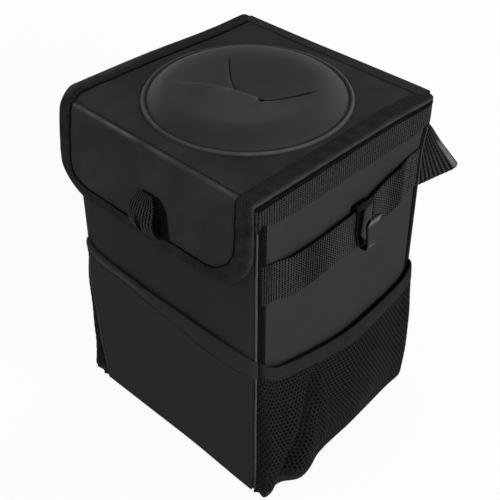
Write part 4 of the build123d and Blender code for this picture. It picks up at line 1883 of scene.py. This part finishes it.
@dataclass
class LidAndFlap(Assembly):
    """The lid and its front flap: one cloth over the fold, one binding round it, and what is sewn on.

    Points of the cloth are given flat, as X and the run from the lid's back edge to the flap's bottom.
    """

    fold_radius: float = 3.0
    bend_length: float = 4.0
    back_corner: float = 3.0
    cloth: float = 0.7
    tape: float = 0.55
    leg: float = 11.0
    shadow_cord: float = 0.55
    shadow_cord_start: float = 6.0
    right_corner: float = 38.0
    left_corner: float = 22.0
    mouth_overlap: float = 6.0
    lining: float = 0.4
    lining_overlap: float = 10.5
    hinge_cloth: float = 0.6
    loop_tape: float = 1.4
    loop_shade_thick: float = 0.9
    slot_half: float = 2.0
    slot_share: float = 0.56
    ripple: float = 0.22
    ridge: Bump = Bump(1.4, 1.3, 0.6)
    groove: Bump = Bump(-1.2, 0.9, 0.55)
    corner_dip: Bump = Bump(2.4, 4.0, 1.6)
    flap_lean: float = 1.2
    flap_belly: float = 2.2
    flap_curl: float = 1.6
    left_curl: float = 2.6
    left_spread: float = 3.2
    left_flare: float = 2.2
    left_belly: float = 2.0
    left_droop: Bump = Bump(0.75, 0.22, 2.4)
    back_roll: Smooth = Smooth((-82, 0.6), (-30, 1.0), (25, 2.7), (50, 3.2), (82, 2.6))

    def __post_init__(self) -> None:
        """Works out where the fold starts and ends along the cloth."""
        frame = self.frame
        self.fold_y = frame.flap_face + self.fold_radius
        self.fold_z = frame.lid_top - self.fold_radius
        self.fold_start = frame.hinge.y - self.fold_y
        self.fold_end = self.fold_start + math.pi / 2 * self.fold_radius
        self.length = self.fold_end + self.fold_z - frame.flap_bottom
        self.lid_thick = frame.lid_top - frame.lid_under
        bend_start = Vector((0, frame.flap_face, self.fold_z))
        self.fold = Bend("lid", "flap", bend_start, bend_start - up(self.bend_length))

    def frame_at(self, run: float) -> tuple[Vector, Vector, Vector]:
        """Where the cloth lies before it puffs.

        Args:
            run: Distance from the lid's back edge.

        Returns:
            The place, the outward direction and the forward direction.
        """
        frame = self.frame
        if run <= self.fold_start:
            return Vector((0, frame.hinge.y - run, frame.lid_top)), Vector((0, 0, 1)), Vector((0, -1, 0))
        if run < self.fold_end:
            angle = (run - self.fold_start) / self.fold_radius
            out = Vector((0, -math.sin(angle), math.cos(angle)))
            place = Vector((0, self.fold_y, self.fold_z)) + out * self.fold_radius
            return place, out, Vector((0, -math.cos(angle), -math.sin(angle)))
        place = Vector((0, frame.flap_face, self.fold_z - (run - self.fold_end)))
        return place, Vector((0, -1, 0)), Vector((0, 0, -1))

    def flap_share(self, run: float) -> float:
        """How far down the flap a run lies, 0 at the fold and 1 at the bottom."""
        return (run - self.fold_end) / (self.length - self.fold_end)

    def behind_fold(self, run: float) -> float:
        """How loose the lid's left edge is at a run, most of all shortly behind the fold."""
        return ease(15, 110, run) * ease(self.fold_start + 3, self.fold_start - 11, run)

    def puff(self, x: float, run: float) -> float:
        """How far the cloth stands out from its plain place.

        Args:
            x: Place across the cloth.
            run: Distance from the lid's back edge.

        Returns:
            The distance in millimetres.
        """
        side = min(1.0, abs(x) / self.frame.lid_half)
        past = run - self.fold_start
        ripple = self.ripple * (1 - side**4) * wobble(Vector((x, run, 0)), 34.0, 29.0)
        ripple += (self.ridge(past) - self.groove(past)) * (1 - side**8)
        ripple -= ease(-66, -82, x) * self.corner_dip(past)
        if run <= self.fold_start:
            return ripple + self.curl(x, run)
        share = within(self.flap_share(run))
        bulge = self.flap_belly * (1 - side**4) + self.flap_curl * ease(-55, -84, x)
        return self.flap_lean * share + bulge * math.sin(math.pi * share) + ripple

    def curl(self, x: float, run: float) -> float:
        """How far the lid's left edge has curled up behind the fold."""
        return self.left_curl * ease(-52, -88, x) * self.behind_fold(run)

    def spot(self, x: float, run: float, lift: float = 0.0) -> Vector:
        """Point on the outside of the cloth, at a lift off it."""
        place, out, _ = self.frame_at(run)
        return place + Vector((x, 0, 0)) + out * (self.puff(x, run) + lift)

    def under(self, x: float, run: float, lift: float = 0.0) -> Vector:
        """Point on the underside of the lid or flap, at a lift out from it."""
        place, out, _ = self.frame_at(run)
        return place + Vector((x, 0, 0)) - out * (self.lid_thick + lift - self.curl(x, run))

    def edge_x(self, side: Side, run: float) -> float:
        """Half width of the cut at a run, with its rounded lower corner.

        Args:
            side: Side of the cut.
            run: Distance from the lid's back edge.

        Returns:
            The distance from the middle to the edge.
        """
        radius = self.right_corner if side is Side.RIGHT else self.left_corner
        half = self.frame.lid_half
        if side is Side.LEFT:
            share = self.flap_share(run)
            half += self.left_belly * math.sin(math.pi * within(share)) + self.left_droop(share)
            half += self.left_flare * ease(self.fold_start - 70, self.fold_start, run) * ease(1.0, 0.5, share)
            half += self.left_spread * self.behind_fold(run)
        past = run - (self.length - radius)
        if run < self.back_corner:
            return half - self.back_corner + math.sqrt(self.back_corner**2 - (self.back_corner - run) ** 2)
        if past <= 0:
            return half
        return half - radius + math.sqrt(max(0.0, radius**2 - past**2))

    def columns(self, run: float, inset: float, count: int) -> list[float]:
        """Even places across the cut at a run, from left to right, an inset inside its edges."""
        left, right = self.edge_x(Side.LEFT, run), self.edge_x(Side.RIGHT, run)
        return steps(-left + inset, right - inset, count)

    def runs(self) -> list[float]:
        """Rows of the cloth, closer at the fold and the corners.

        Returns:
            The runs from the lid's back edge to the flap's bottom.
        """
        corner = self.length - self.right_corner
        found = [self.back_corner * (1 - math.cos(a)) for a in steps(0.35, math.pi / 2, 7)]
        found += steps(self.back_corner, self.fold_start - 6, 40)[1:]
        found += steps(self.fold_start - 6, self.fold_start, 13)[1:]
        found += steps(self.fold_start, self.fold_end, 11)[1:]
        found += steps(self.fold_end, corner, 16)[1:]
        found += [corner + self.right_corner * math.sin(a) for a in steps(0, math.pi / 2, 18)[1:]]
        return found

    def build(self) -> None:
        """Makes the pieces of the lid and the flap."""
        self.cover()
        self.bind()
        self.lid_lining()
        self.flap_lining()
        self.hinge_strip()
        self.pull_loop()
        self.topstitch()

    def under_mouth(self, point: Vector) -> bool:
        """Tells whether a point of the lid lies under the foam mouth."""
        radius = (point.xy - self.frame.mouth_centre.xy).length
        return point.z > self.frame.lid_top - 1 and radius < self.frame.mouth_radius - self.mouth_overlap

    def cover(self) -> None:
        """The cloth over the lid and down the flap, open under the foam mouth."""
        rows = [[self.spot(x, run) for x in self.columns(run, 0.3, 56)] for run in self.runs()]
        piece = cut_out(grid("lid_and_flap_cloth", mirrored(rows)), self.under_mouth)
        # Painted highlight along the fold.
        rub(thicken(piece, self.cloth), self.fold_highlight)
        nodes = ("lid_cover", "flap_cover", "flap_board")
        self.shop.fit(piece, Surface.LID_CLOTH, self.fold, "outer_cloth", nodes)

    def fold_highlight(self, point: Vector) -> float:
        """Painted highlight along the fold: sharp towards the lid, fading down the flap.

        Args:
            point: A point on the cloth.

        Returns:
            How strong the painted highlight is, from 0 to 1.
        """
        if point.z < self.fold_z - 12 or point.y > self.fold_y + 4:
            return 0.0
        over = math.atan2(self.fold_y - point.y, point.z - self.fold_z) * self.fold_radius
        line = bell(over, 1.2, 0.6 if over < 1.2 else 1.3)
        patch = 0.6 + 0.7 * wobble(point, 9.0, 53.0)
        return within(line * patch * (0.8 - 0.4 * point.x / self.frame.lid_half))

    def rim(self) -> list[tuple[float, float, float, float]]:
        """The cut's edge from the lid's right back corner round the flap to the left, with inward directions.

        Returns:
            X, run and the inward direction in both, at each station.
        """
        right, left, back = self.right_corner, self.left_corner, self.back_corner
        right_turn, left_turn = self.length - right, self.length - left
        right_heart, left_heart = self.frame.lid_half - right, left - self.frame.lid_half
        lead = self.frame.lid_half - back
        ends = [(lead + back * math.sin(a), back * (1 - math.cos(a))) for a in steps(0.35, math.pi / 2, 8)]
        found = [(x, run, -1.0, 0.0) for x, run in ends]
        for run in steps(back, right_turn, 110)[1:]:
            found.append((self.edge_x(Side.RIGHT, run), run, -1.0, 0.0))
        for angle in steps(0, math.pi / 2, 24)[1:]:
            across, down = math.cos(angle), math.sin(angle)
            found.append((right_heart + right * across, right_turn + right * down, -across, -down))
        found += [(x, self.length, 0.0, -1.0) for x in steps(right_heart, left_heart, 40)[1:]]
        for angle in steps(math.pi / 2, 0, 20)[1:]:
            run = left_turn + left * math.sin(angle)
            found.append((-self.edge_x(Side.LEFT, run), run, math.cos(angle), -math.sin(angle)))
        for run in steps(left_turn, back, 110)[1:]:
            found.append((-self.edge_x(Side.LEFT, run), run, 1.0, 0.0))
        return found + [(-x, run, 1.0, 0.0) for x, run in reversed(ends[:-1])]

    def bind(self) -> None:
        """Tape folded over the sides of the lid and the whole edge of the flap, with a near-black line along
        its inner edge: the seam there, drawn dark as the shadow line along it.
        """
        turns = [math.pi * k / 3 for k in range(6)]
        sections, shadow_cords = [], []
        for k, (x, run, in_x, in_run) in enumerate(self.rim()):
            _, out, ahead = self.frame_at(run)
            inward = Vector((in_x, 0, 0)) + ahead * in_run
            leg = self.leg + 0.6 * wobble(Vector((k, 0, 0)), 6.0, 31.0)
            lift = self.tape + 0.15 * wobble(Vector((k, 0, 0)), 3.0, 37.0)
            top = [self.spot(x + in_x * d, run + in_run * d, lift) for d in (leg, 0.6 * leg, 0.25 * leg, 0.8)]
            low = [self.under(x + in_x * d, run + in_run * d, self.tape) for d in (0.8, 0.4 * leg, 0.9 * leg)]
            edge, base = self.spot(x, run), self.under(x, run)
            nose = [edge - inward * lift - out * 0.2, base - inward * self.tape + out * 0.2]
            inner_low = [self.under(x + in_x * d, run + in_run * d, -0.05) for d in (0.9 * leg, 0.5)]
            inner_top = [self.spot(x + in_x * d, run + in_run * d, -self.cloth * 0.5) for d in (0.5, leg)]
            sections.append(top + nose + low + inner_low + inner_top)
            if run > self.shadow_cord_start:
                heart = self.spot(x + in_x * leg, run + in_run * leg, 0.35)
                thick = self.shadow_cord
                if x >= 0:
                    thick *= 0.3 + 0.7 * ease(self.fold_start - 8, self.fold_end + 8, run)
                shadow_cords.append([heart + (inward * math.cos(a) + out * math.sin(a)) * thick for a in turns])
        # Painted highlight along the top of the lid's sides.
        piece = rub(loft("lid_and_flap_binding", sections), self.edge_highlight)
        nodes = ("lid_right_binding", "lid_left_binding", "flap_binding")
        self.shop.fit(piece, Surface.TAPE, self.fold, "binding_tape", nodes)
        # A seam line at the binding's inner edge, drawn near-black to paint the shadow line along it.
        shadow_cord = loft("binding_seam_cord", shadow_cords)
        self.shop.fit(shadow_cord, Surface.SEAM_TAPE, self.fold, "binding_tape")

    def edge_highlight(self, point: Vector) -> float:
        """Painted highlight: a thin pale line along the top of the lid's sides.

        Args:
            point: A point on the binding.

        Returns:
            How strong the painted highlight is, from 0 to 1.
        """
        if point.z < self.frame.lid_top - 1.2:
            return 0.0
        out = abs(point.x) - self.frame.lid_half
        return 0.32 * ease(-0.3, 0.4, out) * (0.6 + 0.4 * wobble(point, 8.0, 57.0))

    def lid_lining(self) -> None:
        """Lining under the lid, with the round opening for the mouth."""
        low, high = BinFrame.corners("lid_lining")
        centre = self.frame.mouth_centre
        hole = self.frame.mouth_radius - self.lining_overlap
        rows = []
        angles = steps(0, 2 * math.pi, 121)
        for share in steps(0, 1, 10):
            row = []
            for away in map(toward, angles):
                reach_x = (high.x - 0.6) / max(abs(away.x), 1e-6)
                wall = high.y - 0.4 if away.y > 0 else low.y + 0.4
                reach_y = abs(wall - centre.y) / max(abs(away.y), 1e-6)
                reach = hole + (min(reach_x, reach_y) - hole) * share
                spot = Vector((centre.x, centre.y, 0)) + away * reach
                sag = 0.12 * math.sin(math.pi * share) * (1 + wobble(spot, 18.0, 41.0))
                row.append(Vector((spot.x, spot.y, low.z - sag)))
            rows.append(row)
        piece = thicken(grid("lid_under_lining", mirrored(rows)), self.lining)
        self.shop.fit(piece, Surface.LINING, "lid", "lining", ("lid_lining",))

    def flap_lining(self) -> None:
        """Lining on the back of the flap."""
        first = self.fold_end + 1.0
        runs = [first] + [run for run in self.runs() if run > first + 1]
        rows = [[self.under(x, run) for x in self.columns(run, 0.6, 40)] for run in runs]
        piece = thicken(grid("flap_back_lining", rows), self.lining)
        self.shop.fit(piece, Surface.LINING, self.fold, "lining", ("flap_lining",))

    def hinge_strip(self) -> None:
        """Cloth strip from the back wall over the hinge to the lid."""
        low, high = BinFrame.corners("lid_hinge_tape")
        hinge = self.frame.hinge
        radius = high.y - hinge.y
        path = [(high.y, z, ease(low.z + 9, hinge.z - 1.5, z)) for z in steps(low.z, hinge.z - 1.5, 12)]
        for angle in steps(0, math.pi / 2, 9):
            share = math.cos(angle)
            path.append((hinge.y + radius * share, hinge.z + radius * math.sin(angle), share))
        path += [(y, hinge.z + radius, 0.0) for y in steps(hinge.y - 1.0, hinge.y - 6, 4)]
        rows = []
        for y, z, share in path:
            rows.append([Vector((x, y + share * self.back_roll(x), z)) for x in steps(high.x, low.x, 40)])
        piece = thicken(grid("hinge_strip", rows), self.hinge_cloth)
        start, end = Vector((0, high.y, hinge.z - 3)), Vector((0, hinge.y - 2.5, hinge.z + radius))
        bend = Bend("bin", "lid", start, end)
        self.shop.fit(piece, Surface.PANEL_CLOTH, bend, "outer_cloth", ("lid_hinge_tape",))
        for z in (low.z + 2, low.z + 8):
            self.shop.sew("bin", [Vector((x, high.y + 0.15, z)) for x in steps(low.x + 2, high.x - 2, 60)])

    def pull_loop(self) -> None:
        """Webbing finger loop: a near-black sheet on the flap that paints the shade inside the loop, and an
        arched tab bowed off it with a slot.
        """
        low, high = BinFrame.corners("pull_loop")
        middle, half = (low.x + high.x) / 2, (high.x - low.x) / 2
        # Near-black sheet that paints the shade inside the loop.
        backing = thicken(self.tab("pull_loop_backing", middle + 2.6, half, 0.0), self.loop_shade_thick, 0.0)
        self.shop.fit(backing, Surface.PILE, "flap", "webbing")
        reach = self.frame.flap_face - low.y - 1.8
        slot_x, slot_top = middle - 0.6, low.z + (high.z - low.z) * self.slot_share
        piece = self.tab("pull_loop_tab", slot_x, half - 2.6, reach)
        cut_out(piece, lambda point: abs(point.x - slot_x) < self.slot_half and point.z < slot_top)
        thicken(piece, self.loop_tape, 0.0)
        self.shop.fit(piece, Surface.WEBBING, "flap", "webbing", ("pull_loop",))

    def tab(self, name: str, middle: float, half: float, reach: float) -> Object:
        """An arched tab on the flap.

        Args:
            name: Name of the piece.
            middle: X of its middle.
            half: Half its width.
            reach: How far it bows off the flap.

        Returns:
            The tab, without thickness.
        """
        low, high = BinFrame.corners("pull_loop")
        shares = steps(0, self.slot_share, 14) + steps(self.slot_share, 1, 18)[1:]
        inner = self.slot_half / half
        columns = steps(-1, -inner, 7) + steps(inner, 1, 7)
        lift = 0.5 if reach == 0 else 1.7
        rows = []
        for share in shares:
            z = low.z + (high.z - low.z) * share
            arch = math.sqrt(max(0.0, 1 - ease(0.55, 1.06, share) ** 2 * 0.75))
            bow = reach * math.sin(math.pi * share**0.8)
            row = []
            for c in columns:
                base = self.spot(middle + c * half * arch, self.fold_end + self.fold_z - z, lift)
                row.append(base + Vector((0, -bow * (1 - 0.25 * c * c), 0)))
            rows.append(row)
        return grid(name, rows)

    def topstitch(self) -> None:
        """Stitches inside the binding and beside the fold."""
        right_line, left_line, flap_line = [], [], []
        inset = self.leg - 1.6
        for x, run, in_x, in_run in self.rim():
            point = self.spot(x + in_x * inset, run + in_run * inset, self.tape + 0.12)
            if 5 < run < self.fold_start - 4:
                (right_line if x > 0 else left_line).append(point)
            elif run > self.fold_end + 5:
                flap_line.append(point)
        self.shop.sew("lid", right_line)
        self.shop.sew("lid", left_line)
        self.shop.sew("flap", flap_line)
        inner = self.frame.lid_half - self.leg - 1
        self.shop.sew("lid", [self.spot(x, self.fold_start - 1.6, 0.25) for x in steps(-inner, inner, 90)])


@dataclass(frozen=True)
class Petal:
    """One petal of the foam mouth.

    Attributes:
        start_deg: Direction of its first slit.
        end_deg: Direction of its second slit.
        tip: Where its tip lies, from the middle of the disc.
        tip_height: Height of its tip over the lid.
        start_lift: How far its first edge curls up.
        end_lift: How far its second edge curls up.
        start_gap: How far its first edge draws back from the slit.
        end_gap: How far its second edge draws back from the slit.
        start_bow: How far its first edge bows round, going anticlockwise.
        end_bow: How far its second edge bows round, going anticlockwise.
    """

    start_deg: float
    end_deg: float
    tip: tuple[float, float]
    tip_height: float
    start_lift: float
    end_lift: float
    start_gap: float = 0.0
    end_gap: float = 0.0
    start_bow: float = 0.0
    end_bow: float = 0.0


@dataclass
class FoamMouth(Assembly):
    """The moulded foam disc: a stitched flange, a puffed rim and four petals that overlap unevenly."""

    foam: float = 2.2
    fill: float = 0.8
    slit_end: float = 52.0
    slit_closing: tuple[float, float] = (0.7, 0.86)
    columns: int = 29
    middle: tuple[float, float] = (12.0, -0.4)
    middle_height: float = 2.2
    roll: float = 0.5
    roll_width: float = 2.2
    weld: float = 0.02
    seam_radius: float = 63.7
    seam_height: float = 0.75
    pale_flange_ring: Bump = Bump(66.0, 0.8, 0.8)
    lip_highlight: Bump = Bump(0.0, 1.5, 0.36)
    front_highlight: Bump = Bump(0.0, 12.0, 0.3)
    rings: tuple[float, ...] = (
        53, 54.5, 56, 57.5, 59, 60, 60.8, 61.6, 62.2, 62.8, 63.2, 63.7, 64.1, 64.6, 65.2, 65.8, 66.4, 66.9,
        67.1,
    )
    rim: Smooth = Smooth(
        (52, 7.6), (55, 6.6), (58, 5.2), (60.5, 3.7), (62.2, 2.2), (63.2, 0.9), (63.7, 0.6), (64.4, 1.3),
        (65.4, 1.8), (66.4, 1.5), (67.1, 0.3),
    )
    dish: Smooth = Smooth((0, 0), (0.25, 0.2), (0.5, 0.66), (0.72, 1.06), (0.86, 1.17), (1, 1))
    petals: tuple[Petal, ...] = (
        Petal(-45, 36, (12.6, -1.0), 3.1, 0.0, -0.6, start_gap=0.1, end_gap=0.9),
        Petal(36, 147, (12.0, 0.4), 1.9, 0.2, -0.7, start_gap=0.3, end_gap=0.05, end_bow=11.0),
        Petal(147, 217, (10.4, 0.2), 0.4, 0.4, -0.6, start_bow=11.0),
        Petal(217, 315, (12.6, -1.0), 3.1, 4.8, 0.0),
    )

    def build(self) -> None:
        """Makes the disc and its ring of stitches."""
        whole = bmesh.new()
        across = steps(0, 1, self.columns)
        for number, petal in enumerate(self.petals):
            rows = [[self.leaf(petal, s, t) for t in across] for s in steps(0.03, 1, 22)]
            rows += [[self.ring(petal, radius, t) for t in across] for radius in self.rings]
            piece = grid(f"petal_{number}", mirrored(rows))
            whole.from_mesh(piece.data)
            bpy.data.objects.remove(piece)
        bmesh.ops.remove_doubles(whole, verts=whole.verts, dist=self.weld * MM)
        mesh = bpy.data.meshes.new("foam_disc")
        whole.to_mesh(mesh)
        whole.free()
        # Painted highlight at the front petal's lip, and a pale ring round the flange.
        lip = [self.leaf(self.petals[-1], share, 0) for share in steps(0.03, 0.86, 56)]
        disc = rub(thicken(link("foam_disc", mesh), self.foam), partial(self.highlight_and_flange_line, lip))
        self.shop.fit(disc, Surface.FOAM, "lid", "foam", ("foam_mouth",))
        seam = self.frame.mouth_centre + up(self.seam_height)
        turns = steps(0, 2 * math.pi, 181)
        self.shop.sew("lid", [seam + toward(angle) * self.seam_radius for angle in turns])

    def highlight_and_flange_line(self, lip: Row, point: Vector) -> float:
        """How far the foam is painted paler: a pale line round the flange, and a painted highlight on the
        front petal near its curled lip.

        Args:
            lip: The lip, as a line of points.
            point: A point on the foam.

        Returns:
            How far it is painted paler, from 0 to 1.
        """
        radius = (point.xy - self.frame.mouth_centre.xy).length
        near = min((point - place).length for place in lip)
        along, out = (lip[-1] - lip[0]).xy.normalized(), (point - lip[0]).xy
        beside = along.x * out.y - along.y * out.x
        front = ease(-0.6, 0.6, beside) * ease(44.0, 14.0, out.dot(along))
        wear_and_highlight = self.pale_flange_ring(radius) + self.lip_highlight(near) + self.front_highlight(near) * front
        return wear_and_highlight * (0.8 + 0.4 * wobble(point, 6.0, 57.0))

    def ring(self, petal: Petal, radius: float, across: float) -> Vector:
        """Point on the rim, outside the slits."""
        angle = math.radians(petal.start_deg + (petal.end_deg - petal.start_deg) * across)
        return self.frame.mouth_centre + toward(angle) * radius + up(self.rim(radius))

    def leaf(self, petal: Petal, share: float, across: float) -> Vector:
        """Point on a petal.

        Args:
            petal: The petal.
            share: From 0 at its tip to 1 where the slits end.
            across: From 0 at its first slit to 1 at its second.

        Returns:
            The point on its top.
        """
        centre = self.frame.mouth_centre
        closed = ease(*self.slit_closing, share)
        tip = centre + Vector((*petal.tip, 0)).lerp(Vector((*self.middle, 0)), closed)
        low = petal.tip_height + (self.middle_height - petal.tip_height) * closed
        edge = self.ring(petal, self.slit_end, across)
        point = tip.lerp(edge, share)
        point.z = centre.z + low + (self.rim(self.slit_end) - low) * self.dish(share)
        free = math.sin(math.pi * min(1.0, 0.12 + share / 0.98)) * ease(0.9, 0.7, share)
        point.z += free * (petal.start_lift * (1 - across) ** 3 + petal.end_lift * across**3)
        wide = math.radians(petal.end_deg - petal.start_deg) * self.slit_end * share
        roll = bell(across * wide, 0, self.roll_width) * min(1.0, abs(petal.start_lift) + petal.start_bow)
        roll += bell((1 - across) * wide, 0, self.roll_width) * min(1.0, abs(petal.end_lift) + petal.end_bow)
        point.z -= self.roll * roll * ease(0.84, 0.62, share)
        bow = petal.start_bow * (1 - across) + petal.end_bow * across
        ahead = (edge - tip).normalized()
        point += Vector((-ahead.y, ahead.x, 0)) * bow * math.sin(math.pi * share**0.63)
        middle = math.radians((petal.start_deg + petal.end_deg) / 2)
        draw = petal.start_gap * (1 - across) ** 2 + petal.end_gap * across**2
        point += toward(middle) * draw * ease(0.86, 0.62, share)
        point.z += 0.15 * wobble(point, 18.0, 43.0) * ease(1.0, 0.8, share)
        return point


@dataclass
class Closure(Assembly):
    """The hook-and-loop patches behind the flap and on the front."""

    shell: BoxShell
    corner: float = 2.5
    pile: float = 0.12
    seam_wide: float = 0.94
    seam_tall: float = 0.88
    seam_lift: float = 0.9

    def build(self) -> None:
        """Makes both patches."""
        self.patch("flap_closure_patch", "hook_patch", "flap", 1)
        self.patch("front_closure_patch", "loop_patch", "bin", -1)

    def patch(self, node: str, name: str, body: str, face: int) -> None:
        """One sewn patch with rounded corners.

        Args:
            node: The CAD node that it replaces.
            name: Name of the piece.
            body: The body that it rides on.
            face: 1 where it faces the back, -1 where it faces the front.
        """
        low, high = BinFrame.corners(node)
        centre, half = (low + high) / 2, (high - low) / 2
        walk = Outline(half.x, half.z, self.corner).walk(1.0)
        outer_y = high.y if face > 0 else low.y
        rows = []
        for share in (1.0, 0.97, 0.9, 0.75, 0.5, 0.25, 0.0):
            row = []
            for p, _ in walk:
                x, z = centre.x + p.x * share, centre.z + p.y * share
                lift = 0.0 if share > 0.95 else self.pile * (1 + wobble(Vector((x, 0, z)), 1.5, 47.0))
                if face < 0:
                    lift += self.shell.swell(Vector((x, -self.frame.half_depth, 0)), Vector((0, -1, 0)), z)
                row.append(Vector((x, outer_y + face * lift, z)))
            rows.append(row)
        piece = thicken(grid(name, rows if face < 0 else mirrored(rows)), half.y * 2 - 0.05)
        self.shop.fit(piece, Surface.PILE, body, "hook_and_loop", (node,))
        wide, tall, y = self.seam_wide * half.x, self.seam_tall * half.z, outer_y + face * self.seam_lift
        signs = ((1, 1), (-1, 1), (-1, -1), (1, -1), (1, 1))
        self.shop.sew(body, [Vector((centre.x + a * wide, y, centre.z + b * tall)) for a, b in signs])


def main() -> None:
    """Builds the bin's pieces in order."""
    logging.basicConfig(level=logging.INFO, format="%(name)s: %(message)s")
    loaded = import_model()
    frame = BinFrame.read(loaded["joints"])
    shop = Workshop()
    Stage().build()
    shell = BoxShell(frame, shop)
    shell.build()
    FrontPocket(frame, shop, shell).build()
    knit = knit_tree()
    for side in Side:
        NetPocket(frame, shop, side).build(knit)
        SideWebbing(frame, shop, side).build()
    HangingStrap(frame, shop).build()
    LidAndFlap(frame, shop).build()
    FoamMouth(frame, shop).build()
    Closure(frame, shop, shell).build()
    Stitching(shop).build()
    for name, node in loaded["nodes"].items():
        if name.endswith("_board") and not node.hide_render:
            node.data.materials.clear()
            node.data.materials.append(shop.materials[Surface.BOARD])


if __name__ == "__main__":
    main()
